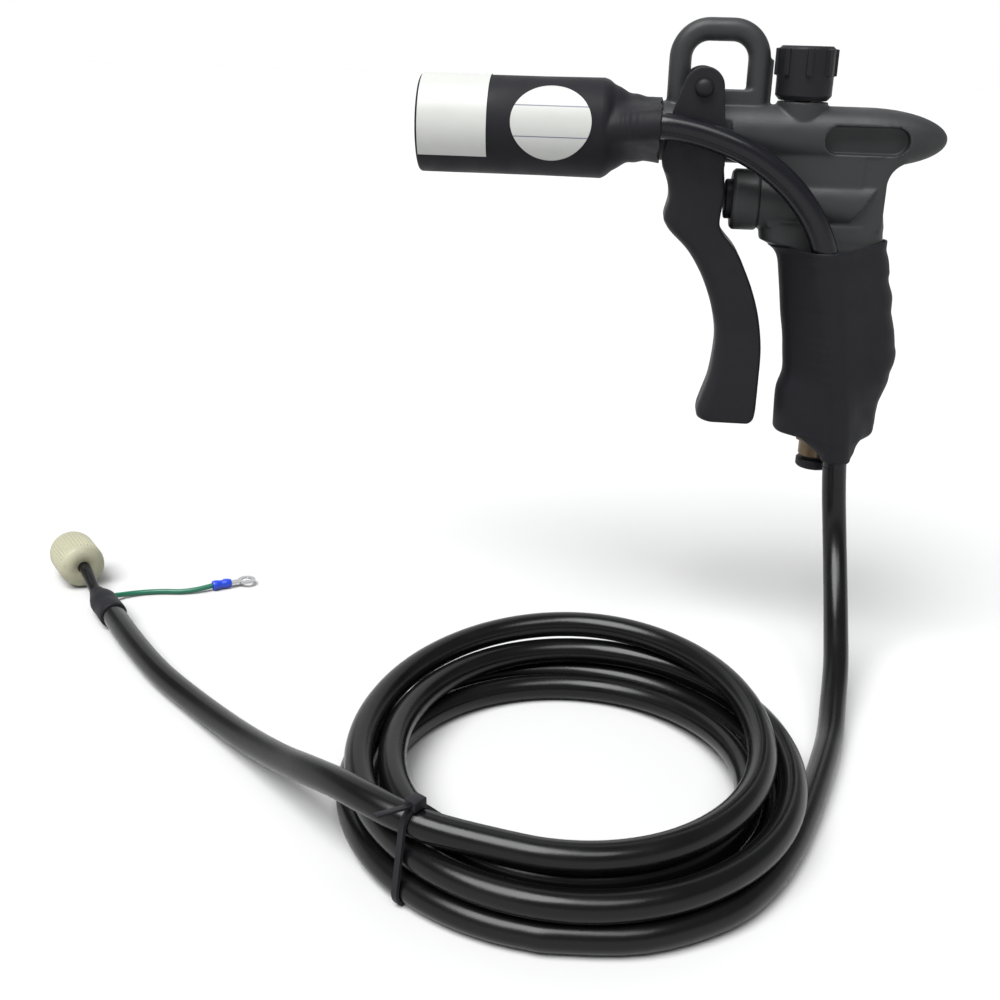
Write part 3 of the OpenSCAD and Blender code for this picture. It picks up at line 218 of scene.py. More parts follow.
class AirGunSizes(bpy.types.PropertyGroup):
    """Sizes that change the dressed pieces"""
    cable_d: length_prop("Cable", "Diameter of the high-voltage cable", 0.010)
    lead_d: length_prop("Lead", "Diameter of the lead inside the cable", 0.005)
    earth_d: length_prop("Earth wire", "Diameter of the earth wire", 0.0024)
    sleeve_wall: length_prop("Sleeve wall", "Thickness of the shrink sleeves", 0.0009)
    sleeve_wave: length_prop("Sleeve wave", "Unevenness of the shrink sleeves", 0.00022)
    body_voxel: length_prop("Body detail", "Size of the body's finest detail", 0.0005)
    small_voxel: length_prop("Small detail", "Size of the small parts' finest detail", 0.00028)
    tie_t: length_prop("Tie", "Thickness of the cable tie", 0.001)
    tie_w: length_prop("Tie width", "Width of the cable tie", 0.0026)
    nut_r: length_prop("Nut", "Radius of the coupling nut over its ribs", 0.0105)
    nut_ribs: IntProperty(name="Nut ribs", description="Ribs round the coupling nut",
                          default=40, min=12, max=80)


class AirGunFinishes(bpy.types.PropertyGroup):
    """Colours of the finishes"""
    body: colour_prop("Body", "Moulded body", (41, 42, 43))
    plastic: colour_prop("Black plastic", "Trigger, knob and small parts", (23, 23, 27))
    sleeve: colour_prop("Sleeve", "Shrink sleeves", (25, 25, 29))
    jacket: colour_prop("Jacket", "Cable jacket", (9, 9, 10))
    # Lighter copy of the cable jacket for the stretch on the gun: painted light, the brighter look
    # of that stretch put into its colour
    held_jacket_painted_light: colour_prop("Held jacket", "Cable jacket on the gun", (18, 18, 23))
    label: colour_prop("Label", "Labels", (174, 175, 172))
    print: colour_prop("Print", "Lines on the round label", (100, 104, 118))
    nut: colour_prop("Nut", "Coupling nut", (152, 150, 128))
    earth: colour_prop("Earth", "Earth wire", (12, 92, 68))
    crimp: colour_prop("Crimp", "Terminal's sleeve", (26, 60, 180))
    brass: colour_prop("Brass", "Fitting and contact", (98, 85, 68))
    steel: colour_prop("Steel", "Needle, ring and terminal", (190, 190, 192))
    insulator: colour_prop("Insulator", "Plug in the nut", (226, 222, 208))
    rubber: colour_prop("Rubber", "Seals", (26, 26, 27))


def smooth_rows(rows, steps):
    """Rows of numbers with smooth ones added between them."""
    out = []
    last = len(rows) - 1
    for i in range(last):
        a, b, c, d = rows[max(i - 1, 0)], rows[i], rows[i + 1], rows[min(i + 2, last)]
        for step in range(steps):
            t = step / steps
            out.append(tuple(
                0.5 * (2 * q + (r - p) * t + (2 * p - 5 * q + 4 * r - s) * t ** 2
                       + (3 * q - p - 3 * r + s) * t ** 3)
                for p, q, r, s in zip(a, b, c, d)))
    out.append(tuple(rows[last]))
    return out


def evenly(points, count, closed=False):
    """Points spaced evenly along the line through the given ones."""
    line = [Vector(p) for p in points]
    if closed:
        line.append(line[0].copy())
    steps = [(b - a).length for a, b in zip(line, line[1:])]
    stride = sum(steps) / (count if closed else count - 1)
    out, i, done = [], 0, 0.0
    for k in range(count):
        want = k * stride
        while i < len(steps) - 1 and done + steps[i] < want:
            done += steps[i]
            i += 1
        out.append(line[i].lerp(line[i + 1], min(1, (want - done) / max(steps[i], 1e-12))))
    return out


def taut_outline(discs, count):
    """Points round the tight outline of discs (x, y, radius)."""
    fine = []
    for k in range(3 * count):
        a = 2 * math.pi * k / (3 * count)
        u = Vector((math.cos(a), math.sin(a)))
        x, y, r = max(discs, key=lambda d: d[0] * u.x + d[1] * u.y + d[2])
        fine.append((x + r * u.x, y + r * u.y, 0))
    return evenly(fine, count, closed=True)


def circle(x, y, radius, count):
    angles = (2 * math.pi * k / count for k in range(count))
    return [(x + radius * math.cos(a), y + radius * math.sin(a)) for a in angles]


def level(outline, z):
    """Outline laid flat at height z."""
    return [Vector((p.x, p.y, z)) for p in outline]


def upright(outline, x):
    """Outline set across the barrel's axis at x."""
    return [Vector((x, p.x, BARREL_Z + p.y)) for p in outline]


def loft(bm, rings, closed=False):
    """Skin through rings of points, with its ends filled, or closed into a hollow shell."""
    loops = []
    for ring in rings:
        verts = [bm.verts.new(p) for p in ring]
        loops.append([bm.edges.new((verts[i - 1], verts[i])) for i in range(len(verts))])
    following = loops[1:] + loops[:1] if closed else loops[1:]
    for low, high in zip(loops, following):
        bmesh.ops.bridge_loops(bm, edges=low + high)
    if not closed:
        bmesh.ops.edgeloop_fill(bm, edges=loops[0])
        bmesh.ops.edgeloop_fill(bm, edges=loops[-1])


def slab(bm, outline, low, high):
    """Plate of an outline (x, z) between two places along Y."""
    loft(bm, [[Vector((x, y, z)) for x, z in outline] for y in (low, high)])


def shell(bm, outer, inner):
    """Hollow shell between two skins of rings, with rounded rims."""
    bulge = 0.3
    rims = []
    for end, inward in ((-1, -2), (0, 1)):
        out = (outer[end][0] - outer[inward][0]).normalized()
        rims.append([(p + q) / 2 + bulge * (p - q).length * out
                     for p, q in zip(outer[end], inner[end])])
    loft(bm, outer + [rims[0]] + inner[::-1] + [rims[1]], closed=True)


def turn(bm, profile, matrix, segments=96):
    """Turned form from a profile of (radius, height) round the matrix's Z axis."""
    verts = [bm.verts.new((r, 0, z)) for r, z in profile]
    edges = [bm.edges.new(pair) for pair in zip(verts, verts[1:])]
    bmesh.ops.spin(bm, geom=verts + edges, cent=(0, 0, 0), axis=(0, 0, 1), angle=2 * math.pi,
                   steps=segments, use_merge=True)
    bmesh.ops.remove_doubles(bm, verts=bm.verts, dist=1e-7)
    bmesh.ops.transform(bm, matrix=matrix, verts=bm.verts)


def axis_matrix(start, axis, height):
    """Frame whose Z axis runs along axis from a point at that height over the floor."""
    turned = axis.to_track_quat("Z", "Y").to_matrix().to_4x4()
    return Matrix.Translation((start[0], start[1], FLOOR + height)) @ turned


def mesh_of(name, bm):
    mesh = bpy.data.meshes.new(name)
    bm.to_mesh(mesh)
    bm.free()
    return mesh


def placed(name, data):
    """Object at the origin of the scene."""
    obj = bpy.data.objects.new(name, data)
    bpy.context.scene.collection.objects.link(obj)
    return obj


def evaluated(obj):
    """New mesh of an object with its modifiers."""
    bpy.context.view_layer.update()
    graph = bpy.context.evaluated_depsgraph_get()
    return bpy.data.meshes.new_from_object(obj.evaluated_get(graph))


def melted(bm, voxel, rounds):
    """The forms in bm grown into one with soft edges, by a fine remesh."""
    mesh = mesh_of("melt", bm)
    rough = placed("melt", mesh)
    grow = rough.modifiers.new("Grow together", "REMESH")
    grow.mode = "VOXEL"
    grow.voxel_size = voxel
    soften = rough.modifiers.new("Soften", "SMOOTH")
    soften.factor = 0.5
    soften.iterations = rounds
    fine = evaluated(rough)
    out = bmesh.new()
    out.from_mesh(fine)
    bpy.data.objects.remove(rough)
    bpy.data.meshes.remove(mesh)
    bpy.data.meshes.remove(fine)
    return out


def copied(node):
    """The CAD part's surface as one joined mesh."""
    bm = bmesh.new()
    bm.from_mesh(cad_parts[node].data)
    bmesh.ops.remove_doubles(bm, verts=bm.verts, dist=2e-6)
    return bm


def mark_edges(bm):
    """Stores how far each point stands out from its neighbours, for worn edges."""
    layer = bm.verts.layers.float.new("edge_wear")
    for v in bm.verts:
        lean = [v.normal.dot((v.co - e.other_vert(v).co).normalized()) for e in v.link_edges]
        v[layer] = sum(lean) / max(len(lean), 1)


def ripple(bm, size, depth):
    """Moves the surface in and out by a slow wave, as a shrunk sleeve lies."""
    bm.normal_update()
    for v in bm.verts:
        v.co += v.normal * depth * noise.noise(v.co / size)


def settle(obj, finish, nodes, body):
    """Puts a piece on its body, in place of CAD nodes."""
    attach(obj, body)
    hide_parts(*nodes)
    return obj


def piece(name, bm, finish, *nodes, body="gun", sharp=38):
    """Finished object of a mesh, smooth but for edges sharper than that angle."""
    bmesh.ops.recalc_face_normals(bm, faces=bm.faces)
    mesh = mesh_of(name, bm)
    mesh.materials.append(finish())
    mesh.shade_smooth()
    mesh.set_sharp_from_angle(angle=math.radians(sharp))
    return settle(placed(name, mesh), finish, nodes, body)


def fine_copy(name, node, finish, voxel, rounds=2, body="gun", worn=True):
    """Piece with a CAD part's form and soft edges."""
    bm = melted(copied(node), voxel, rounds)
    if worn:
        mark_edges(bm)
    return piece(name, bm, finish, node, body=body)


def cord_piece(name, points, diameter, finish, *nodes):
    """Round cord along points, as a curve of one spline."""
    data = bpy.data.curves.new(name, "CURVE")
    data.dimensions = "3D"
    data.bevel_depth = diameter / 2
    data.bevel_resolution = 8
    data.use_fill_caps = True
    spline = data.splines.new("POLY")
    spline.points.add(len(points) - 1)
    for p, co in zip(spline.points, points):
        p.co = (*co, 1)
    data.materials.append(finish())
    return settle(placed(name, data), finish, nodes, "gun")


def dress(finish, *nodes):
    """Gives CAD parts that stay as they are their finish."""
    for node in nodes:
        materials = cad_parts[node].data.materials
        materials.clear()
        materials.append(finish())


class FinishMaker:
    """One material being made: its shader, and the nodes that feed it."""

    def __init__(self, name, metallic=0.0, specular=0.5):
        self.material = bpy.data.materials.new(name)
        self.material.use_nodes = True
        self.tree = self.material.node_tree
        self.shader = self.tree.nodes["Principled BSDF"]
        self.feed(self.shader, {"Metallic": metallic, "Specular IOR Level": specular})
        self.place = self.node("TexCoord", {}, "Object")

    def feed(self, node, inputs):
        """Sets inputs to values, or links them to sockets."""
        for key, value in inputs.items():
            if isinstance(value, bpy.types.NodeSocket):
                self.tree.links.new(value, node.inputs[key])
            else:
                node.inputs[key].default_value = value

    def node(self, kind, inputs, output, **settings):
        """Output of a new node with those inputs and settings."""
        node = self.tree.nodes.new("ShaderNode" + kind)
        for key, value in settings.items():
            setattr(node, key, value)
        self.feed(node, inputs)
        return node.outputs[output]

    def speckle(self, size, detail=2.0, stretch=(1, 1, 1)):
        """Noise whose spots are about that size."""
        mapped = self.node("Mapping", {"Vector": self.place, "Scale": stretch}, "Vector")
        return self.node("TexNoise", {"Vector": mapped, "Scale": 1 / size, "Detail": detail}, "Fac")

    def ranged(self, value, low, high, source=(0.3, 0.7)):
        """Value stretched from the source range to low and high."""
        return self.node("MapRange", {"Value": value, "From Min": source[0], "From Max": source[1],
                                      "To Min": low, "To Max": high}, "Result")

    def toned(self, colour, drift, size):
        """Colour that drifts lighter and darker in patches."""
        tone = self.ranged(self.speckle(size, 4), 1 - drift, 1 + drift)
        return self.node("HueSaturation", {"Color": (*colour, 1), "Value": tone}, "Color")

    def mixed(self, share, first, second):
        """First colour socket turning into the second colour by share."""
        return self.node("Mix", {"Factor": share, 6: first, 7: (*second, 1)}, 2, data_type="RGBA")

    def edge(self, strength):
        """Share of wear on edges that stand out, broken up by spots."""
        stands_out, spotted = (0.06, 0.2), (0.35, 0.6)
        wear = self.node("Attribute", {}, "Fac", attribute_name="edge_wear")
        worn = self.ranged(wear, 0, strength, stands_out)
        spots = self.ranged(self.speckle(0.004, 4), 0, 1, spotted)
        return self.node("Math", {0: worn, 1: spots}, "Value", operation="MULTIPLY")

    def bumped(self, height, depth, under=None):
        """Normal with that relief, over another one if given."""
        base = {} if under is None else {"Normal": under}
        return self.node("Bump", {"Height": height, "Distance": depth, **base}, "Normal")

    def finish(self, colour, roughness, normal):
        self.feed(self.shader, {"Base Color": colour, "Roughness": roughness, "Normal": normal})
        return self.material


def made_once(slot):
    """Keeps each finish, so that pieces share it, and names its slot."""
    def keep(maker):
        kept = []

        def get():
            if not kept:
                kept.append(maker(bpy.context.scene.air_gun_finishes))
            return kept[0]
        get.slot = slot
        return get
    return keep


@made_once("body_plastic")
def body_plastic(colours):
    """Moulded body: fine even grain, patchy sheen and paler edges."""
    m = FinishMaker("body_plastic", specular=0.3)
    base = m.toned(colours.body, 0.07, 0.03)
    pale = tuple(min(1, 1.9 * c + 0.01) for c in colours.body)
    colour = m.mixed(m.edge(0.55), base, pale)
    rough = m.ranged(m.speckle(0.008, 4), 0.42, 0.56)
    normal = m.bumped(m.speckle(0.0006, 3), 0.00005)
    return m.finish(colour, rough, m.bumped(m.speckle(0.006), 0.00006, normal))


@made_once("black_plastic")
def black_plastic(colours):
    """Trigger and knob: satin black with a fine grain and rubbed edges."""
    m = FinishMaker("black_plastic", specular=0.2)
    base = m.toned(colours.plastic, 0.08, 0.02)
    pale = tuple(2.2 * c + 0.005 for c in colours.plastic)
    colour = m.mixed(m.edge(0.5), base, pale)
    rough = m.ranged(m.speckle(0.006, 4), 0.44, 0.6)
    return m.finish(colour, rough, m.bumped(m.speckle(0.0005, 3), 0.00004))


@made_once("heat_shrink")
def shrink_sleeve(colours):
    """Shrink tube: matt, faintly wrinkled, with fine scuffs."""
    m = FinishMaker("shrink_sleeve", specular=0.14)
    base = m.toned(colours.sleeve, 0.1, 0.025)
    scuff = m.ranged(m.speckle(0.0015, 5, (1, 1, 0.25)), 0, 0.22, (0.6, 0.75))
    colour = m.mixed(scuff, base, tuple(1.7 * c for c in colours.sleeve))
    rough = m.ranged(m.speckle(0.01, 4), 0.5, 0.64)
    normal = m.bumped(m.speckle(0.0005, 2), 0.00002)
    return m.finish(colour, rough, m.bumped(m.speckle(0.009, 2), 0.0001, normal))


def jacket(name, colour):
    """Cable jacket: smooth, half gloss, with dull handled patches."""
    m = FinishMaker(name, specular=0.27)
    base = m.toned(colour, 0.12, 0.04)
    scuff = m.ranged(m.speckle(0.003, 5), 0, 0.25, (0.6, 0.78))
    mottled = m.mixed(scuff, base, tuple(2 * c for c in colour))
    rough = m.ranged(m.speckle(0.02, 5), 0.2, 0.31)
    return m.finish(mottled, rough, m.bumped(m.speckle(0.0012, 3), 0.00002))


def label_finish(name, colours, lines):
    """White vinyl label with a faint tooth, and thin printed lines at those heights."""
    line_half = 0.00022
    m = FinishMaker(name, specular=0.4)
    colour = m.toned(colours.label, 0.02, 0.012)
    for z in lines:
        height = m.node("SeparateXYZ", {"Vector": m.place}, "Z")
        line = m.node("Math", {0: height, 1: z, 2: line_half}, "Value", operation="COMPARE")
        colour = m.mixed(line, colour, colours.print)
    rough = m.ranged(m.speckle(0.01, 3), 0.36, 0.46)
    return m.finish(colour, rough, m.bumped(m.speckle(0.0009, 3), 0.000015))


def moulding(name, colour, roughness, specular=0.5):
    """Small moulded part: even colour with a soft drift and a smooth skin."""
    m = FinishMaker(name, specular=specular)
    rough = m.ranged(m.speckle(0.004, 4), roughness - 0.06, roughness + 0.08)
    return m.finish(m.toned(colour, 0.06, 0.008), rough,
                    m.bumped(m.speckle(0.0004, 2), 0.00002))


@made_once("nut_beige")
def nut_beige(colours):
    """Coupling nut: pale hard plastic with grime between the ribs."""
    m = FinishMaker("nut_beige", specular=0.4)
    base = m.toned(colours.nut, 0.05, 0.01)
    grime = m.ranged(m.speckle(0.003, 5), 0, 0.3, (0.52, 0.75))
    colour = m.mixed(grime, base, tuple(0.55 * c for c in colours.nut))
    rough = m.ranged(m.speckle(0.005, 4), 0.36, 0.52)
    return m.finish(colour, rough, m.bumped(m.speckle(0.0005, 2), 0.00002))


def metal(name, colour, roughness, dark):
    """Turned metal with fine tool marks and tarnish."""
    m = FinishMaker(name, metallic=1.0)
    base = m.toned(colour, 0.06, 0.006)
    spots = m.ranged(m.speckle(0.0035, 5), 0, 0.5, (0.5, 0.75))
    colour = m.mixed(spots, base, tuple(dark * c for c in colour))
    rough = m.ranged(m.speckle(0.002, 5), roughness - 0.08, roughness + 0.12)
    marks = m.speckle(0.0004, 3, (0.15, 0.15, 2.5))
    return m.finish(colour, rough, m.bumped(marks, 0.00001))


# Cable, free and on the gun, labels, small mouldings and metals
cable_jacket = made_once("cable_jacket")(lambda c: jacket("cable_jacket", c.jacket))
# The cable on the gun has the same jacket in the same slot, in a lighter colour that paints light
# onto it
held_jacket_painted_light = made_once("cable_jacket")(lambda c: jacket("held_jacket_painted_light", c.held_jacket_painted_light))
plain_label = made_once("label_white")(lambda c: label_finish("plain_label", c, ()))
lined_label = made_once("label_white")(lambda c: label_finish("lined_label", c, STICKER_LINES))
wire_green = made_once("wire_green")(lambda c: moulding("wire_green", c.earth, 0.34))
sleeve_blue = made_once("sleeve_blue")(lambda c: moulding("sleeve_blue", c.crimp, 0.32))
insulator = made_once("insulator")(lambda c: moulding("insulator", c.insulator, 0.4))
seal_rubber = made_once("seal_rubber")(lambda c: moulding("seal_rubber", c.rubber, 0.66, 0.3))
brass = made_once("brass")(lambda c: metal("brass", c.brass, 0.34, 0.5))
steel = made_once("steel")(lambda c: metal("steel", c.steel, 0.28, 0.7))


class AIRGUN_OT_stage(bpy.types.Operator):
    """Makes the floor, the soft light and the camera"""
    bl_idname = "air_gun.stage"
    bl_label = "Stage"

    def execute(self, context):
        self.floor()
        self.light(context)
        self.camera(context)
        return {"FINISHED"}

    def floor(self):
        bm = bmesh.new()
        bmesh.ops.create_grid(bm, x_segments=1, y_segments=1, size=FLOOR_HALF,
                              matrix=Matrix.Translation((0, 0, FLOOR - FLOOR_GAP)))
        obj = placed("floor", mesh_of("floor", bm))
        m = FinishMaker("pale_floor", specular=0.1)
        colour = m.toned((FLOOR_GREY, FLOOR_GREY, FLOOR_GREY), 0.01, 0.5)
        rough = m.ranged(m.speckle(0.05), 0.8, 0.9)
        obj.data.materials.append(m.finish(colour, rough, m.bumped(m.speckle(0.002), 0.00001)))

    def light(self, context):
        world = bpy.data.worlds.new("studio")
        world.use_nodes = True
        nodes, links = world.node_tree.nodes, world.node_tree.links
        place = nodes.new("ShaderNodeTexCoord")
        split = nodes.new("ShaderNodeSeparateXYZ")
        bands = nodes.new("ShaderNodeValToRGB")
        for stop, (position, grey) in zip(bands.color_ramp.elements, SKY):
            stop.position = position
            stop.color = grey
        links.new(place.outputs["Generated"], split.inputs["Vector"])
        links.new(split.outputs["Z"], bands.inputs["Fac"])
        links.new(bands.outputs["Color"], nodes["Background"].inputs["Color"])
        context.scene.world = world
        for name, strength, softness, turned in LAMPS:
            lamp = bpy.data.lights.new(name, "SUN")
            lamp.energy = strength
            lamp.angle = math.radians(softness)
            placed(name, lamp).rotation_euler = [math.radians(a) for a in turned]

    def camera(self, context):
        data = bpy.data.cameras.new("camera")
        data.lens, data.sensor_width = LENS_MM, SENSOR_MM
        data.clip_start, data.clip_end = 0.01, 100
        seen = Matrix.Translation(EYE)
        for angle, axis in ((EYE_YAW, "Z"), (90 - EYE_PITCH, "X"), (EYE_ROLL, "Z")):
            seen = seen @ Matrix.Rotation(math.radians(angle), 4, axis)
        obj = placed("camera", data)
        obj.matrix_world = seen
        context.scene.camera = obj
        context.scene.view_settings.view_transform = "Standard"


class AIRGUN_OT_cable_end(bpy.types.Operator):
    """Makes the boot, lead, coupling nut and plug on the cable's end"""
    bl_idname = "air_gun.cable_end"
    bl_label = "Cable End"

    def execute(self, context):
        sizes = context.scene.air_gun_sizes
        self.boot()
        self.lead(sizes)
        self.nut(sizes)
        for node, finish in (("lead_plug", insulator), ("contact_pin", brass)):
            fine_copy(node + "_turned", node, finish, voxel=0.00018, worn=False)
        return {"FINISHED"}

    def boot(self):
        r, end = BOOT_R, BOOT_LENGTH
        bm = bmesh.new()
        profile = [(0, 0), (r - 0.0008, 0), (r - 0.0002, 0.0004), (r, 0.0012), (r, 0.006),
                   (r - 0.0002, 0.010), (r, 0.014), (r - 0.0001, 0.017), (r - 0.0009, 0.0205),
                   (r - 0.0021, 0.0245), (r - 0.0025, end - 0.0012), (r - 0.0027, end - 0.0003),
                   (r - 0.0032, end), (0, end)]
        turn(bm, profile, axis_matrix(END_START, END_AXIS, BOOT_R))
        bmesh.ops.subdivide_edges(bm, edges=bm.edges, cuts=1, use_grid_fill=True)
        ripple(bm, size=0.004, depth=0.00015)
        piece("boot", bm, shrink_sleeve, "cable_boot", sharp=60)

    def lead(self, sizes):
        foot = Vector((*END_START, FLOOR))
        low, high = Vector((0, 0, BOOT_R)), Vector((0, 0, NUT_LIFT))
        in_boot, past_boot, before_nut, in_nut = 0.002, 0.003, 0.004, 0.0054
        stops = [(BOOT_LENGTH - in_boot, low), (BOOT_LENGTH + past_boot, low),
                 (NUT_FROM - before_nut, high), (NUT_FROM + in_nut, high)]
        points = smooth_rows([foot + lift + along * END_AXIS for along, lift in stops], 6)
        cord_piece("inner_lead_skin", points, sizes.lead_d, cable_jacket, "inner_lead")

    def nut(self, sizes):
        r, per_rib = sizes.nut_r, 8
        count = sizes.nut_ribs * per_rib
        # Distance along the nut, radius, height of the ribs there
        stations = [(0, r - 0.0034, 0), (0.0006, r - 0.0026, 0), (0.0014, r - 0.001, 0),
                    (0.0022, r - 0.0006, 0), (0.0034, r - 0.0006, 0), (0.004, r - 0.0006, 0.0006),
                    (0.0222, r - 0.0006, 0.0006), (0.0228, r - 0.0006, 0), (0.0236, r - 0.0006, 0),
                    (NUT_LENGTH, r - 0.001, 0), (NUT_LENGTH, r - 0.002, 0), (0.0234, r - 0.0024, 0),
                    (NUT_FLOOR, r - 0.0024, 0), (NUT_FLOOR, NUT_HOLE_R, 0),
                    (0.0005, NUT_HOLE_R, 0), (0, 0.0031, 0)]
        matrix = axis_matrix(END_START, END_AXIS, NUT_LIFT)
        rings = []
        for along, radius, rib in stations:
            ring = []
            for k in range(count):
                a = 2 * math.pi * k / count
                swell = 0.5 + 0.5 * math.cos(2 * math.pi * k / per_rib)
                reach = radius + rib * swell ** RIB_FULLNESS
                ring.append(matrix @ Vector((reach * math.cos(a), reach * math.sin(a),
                                             NUT_FROM + along)))
            rings.append(ring)
        bm = bmesh.new()
        loft(bm, rings, closed=True)
        piece("ribbed_nut", bm, nut_beige, "coupling_nut", body="coupling_nut", sharp=50)


class AIRGUN_OT_earth_lead(bpy.types.Operator):
    """Makes the earth wire with its crimped ring terminal"""
    bl_idname = "air_gun.earth_lead"
    bl_label = "Earth Lead"

    def execute(self, context):
        sizes = context.scene.air_gun_sizes
        points = smooth_rows(EARTH_ROUTE, 4)
        wire = cord_piece("earth_wire_skin", points, sizes.earth_d, wire_green, "earth_wire")
        bm = bmesh.new()
        r, end = CRIMP_R, CRIMP_LENGTH
        profile = [(0.0012, 0.0004), (0.0016, 0), (r - 0.0002, 0.0002), (r, 0.0008), (r, 0.0026),
                   (r - 0.00035, 0.0036), (r - 0.00035, 0.005), (r, 0.006), (r - 0.0002, 0.0078),
                   (r - 0.0006, end), (0.0008, end), (0.0008, end - 0.0006)]
        turn(bm, profile, axis_matrix(TERMINAL_START, TERMINAL_AXIS, CRIMP_R), 48)
        crimp = piece("crimp_sleeve", bm, sleeve_blue, "terminal_sleeve")
        ring = fine_copy("ring_terminal", "terminal_ring", steel, voxel=0.00014, worn=False)
        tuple(EARTH_ROUTE[0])
        return {"FINISHED"}


def coil_point(turned, radius, height):
    """Place on the coil at that turn, counted from the near side, in degrees."""
    a = math.radians(turned)
    return Vector((COIL_CENTRE[0] - COIL_SQUASH * radius * math.sin(a),
                   COIL_CENTRE[1] - radius * math.cos(a), FLOOR + height))


class AIRGUN_OT_cable(bpy.types.Operator):
    """Makes the free cable with its coil and tie"""
    bl_idname = "air_gun.cable"
    bl_label = "Cable"

    def execute(self, context):
        sizes = context.scene.air_gun_sizes
        quarters = [(90 * k, r, h) for k, (r, h) in enumerate(COIL_QUARTERS)]
        turns = [row for row in smooth_rows(quarters, 9) if row[0] <= COIL_TO]
        coil = [coil_point(*row) for row in COIL_LEAD_IN + turns]
        points = smooth_rows([tuple(p) for p in DROP_ROUTE + coil + TAIL_ROUTE], 4)
        cable = cord_piece("free_cable", points, sizes.cable_d, cable_jacket,
                           "cable_drop", "cable_coil", "cable_tail")
        tie = self.tie(sizes, points)
        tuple(DROP_ROUTE[0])
        return {"FINISHED"}

    def tie(self, sizes, points):
        """Strap drawn tight round the strands where the cable leaves the coil."""
        a = math.radians(TIE_TURN)
        out = Vector((-COIL_SQUASH * math.sin(a), -math.cos(a), 0)).normalized()
        along = Vector((out.y, -out.x, 0))
        middle = coil_point(TIE_TURN, TIE_RADIUS, TIE_HEIGHT)
        slack, over_floor = 0.0003, 0.0001
        discs = []
        for p, q in zip(points, points[1:]):
            near, far = (Vector(p) - middle).dot(along), (Vector(q) - middle).dot(along)
            if near * far > 0 or near == far:
                continue
            hit = Vector(p).lerp(Vector(q), near / (near - far)) - middle
            if hit.length < TIE_REACH:
                discs.append((hit.dot(out), hit.z, sizes.cable_d / 2 + slack))
        rings = []
        for push, shift in ((0, -0.5), (sizes.tie_t, -0.42), (sizes.tie_t, 0.42), (0, 0.5)):
            outline = taut_outline([(x, y, r + push) for x, y, r in discs], 96)
            ring = [middle + p.x * out + Vector((0, 0, p.y)) + shift * sizes.tie_w * along
                    for p in outline]
            rings.append([Vector((p.x, p.y, max(p.z, FLOOR + over_floor))) for p in ring])
        bm = bmesh.new()
        loft(bm, rings, closed=True)
        top = max(rings[1], key=lambda p: p.z) - middle
        head = middle + top.dot(out) * out + Vector((0, 0, top.z + TIE_HEAD_LIFT))
        turned = Matrix((out, along, Vector((0, 0, 1)))).transposed().to_4x4()
        self.block(bm, Matrix.Translation(head) @ turned, TIE_HEAD)
        end = Matrix.Translation(head + TIE_END_LENGTH / 2 * out + Vector((0, 0, TIE_END_LIFT)))
        lean = Matrix.Rotation(math.radians(TIE_END_LEAN), 4, "Y")
        self.block(bm, end @ turned @ lean, (TIE_END_LENGTH, sizes.tie_w * 0.9, TIE_END_T))
        return piece("strap_tie", bm, black_plastic, "cable_tie")

    def block(self, bm, matrix, size):
        """Small block with broken edges."""
        made = bmesh.ops.create_cube(bm, size=1, matrix=matrix @ Matrix.Diagonal((*size, 1)))
        edges = {e for v in made["verts"] for e in v.link_edges}
        bmesh.ops.bevel(bm, geom=list(edges), offset=0.0003, affect="EDGES", segments=2,
                        profile=0.5, material=-1)


class AIRGUN_OT_body(bpy.types.Operator):
    """Makes the moulded body with its loop, barrel, boss and valve housing"""
    bl_idname = "air_gun.body"
    bl_label = "Body"

    def execute(self, context):
        sizes = context.scene.air_gun_sizes
        bm = copied("gun_body")
        self.round_shoulder(bm)
        self.neck_back(bm)
        bm = melted(bm, sizes.body_voxel, 5)
        mark_edges(bm)
        piece("body_moulding", bm, body_plastic, "gun_body", sharp=60)
        return {"FINISHED"}

    def round_shoulder(self, bm):
        """Full round of the barrel close behind the trigger's ears."""
        ring = taut_outline([(0, 0, BARREL_R)], 160)
        loft(bm, [upright(ring, x) for x in SHOULDER])

    def neck_back(self, bm):
        """Back of the neck, drawn out towards the grip's rim."""
        rings = []
        for z, back, half, corner in NECK_BACK:
            discs = [(x, side * (half - corner), corner) for side in (-1, 1)
                     for x in (NECK_INSIDE, back - corner)]
            rings.append(level(taut_outline(discs, 80), z))
        loft(bm, rings)


def sleeve_rings(wall, lip):
    """Rings of the nozzle sleeve's outer or inner face, front first."""
    count, over_barrel = 144, 0.00015
    fold, fold_step, lift = 0.00028, 0.0072, 0.0006
    flare, flare_from, flare_run = 0.0003, 0.9, 0.1
    rings = []
    for ahead, drop in ((0, lip), (0.0002, lip * 0.55), (0.0006, lip * 0.2), (0.0012, 0),
                        (0.012, 0), (0.03, 0), (0.05, 0)):
        outline = taut_outline([(0, 0, NOZZLE_R - drop + wall)], count)
        rings.append(upright(outline, NOZZLE_FRONT + ahead))
    route = smooth_rows(UPPER_ROUTE, 12)
    for ahead, share in smooth_rows(SLEEVE_LINE, 8):
        x = SLEEVE_END - ahead
        along = 1 - ahead / SLEEVE_LINE[0][0]
        slack = math.sin(math.pi * min(1, max(0, along)))
        wave = fold * slack * math.sin(2 * math.pi * ahead / fold_step)
        r = NOZZLE_R + share * (BARREL_R + over_barrel - NOZZLE_R) + wall
        r += wave + flare * max(0, along - flare_from) / flare_run
        near = min(route, key=lambda p: abs(p[0] - x))
        raised = lift * slack
        discs = [(0, raised, r), (near[1], near[2] - BARREL_Z + raised, CABLE_HUG + wall)]
        rings.append(upright(taut_outline(discs, count), x))
    return rings


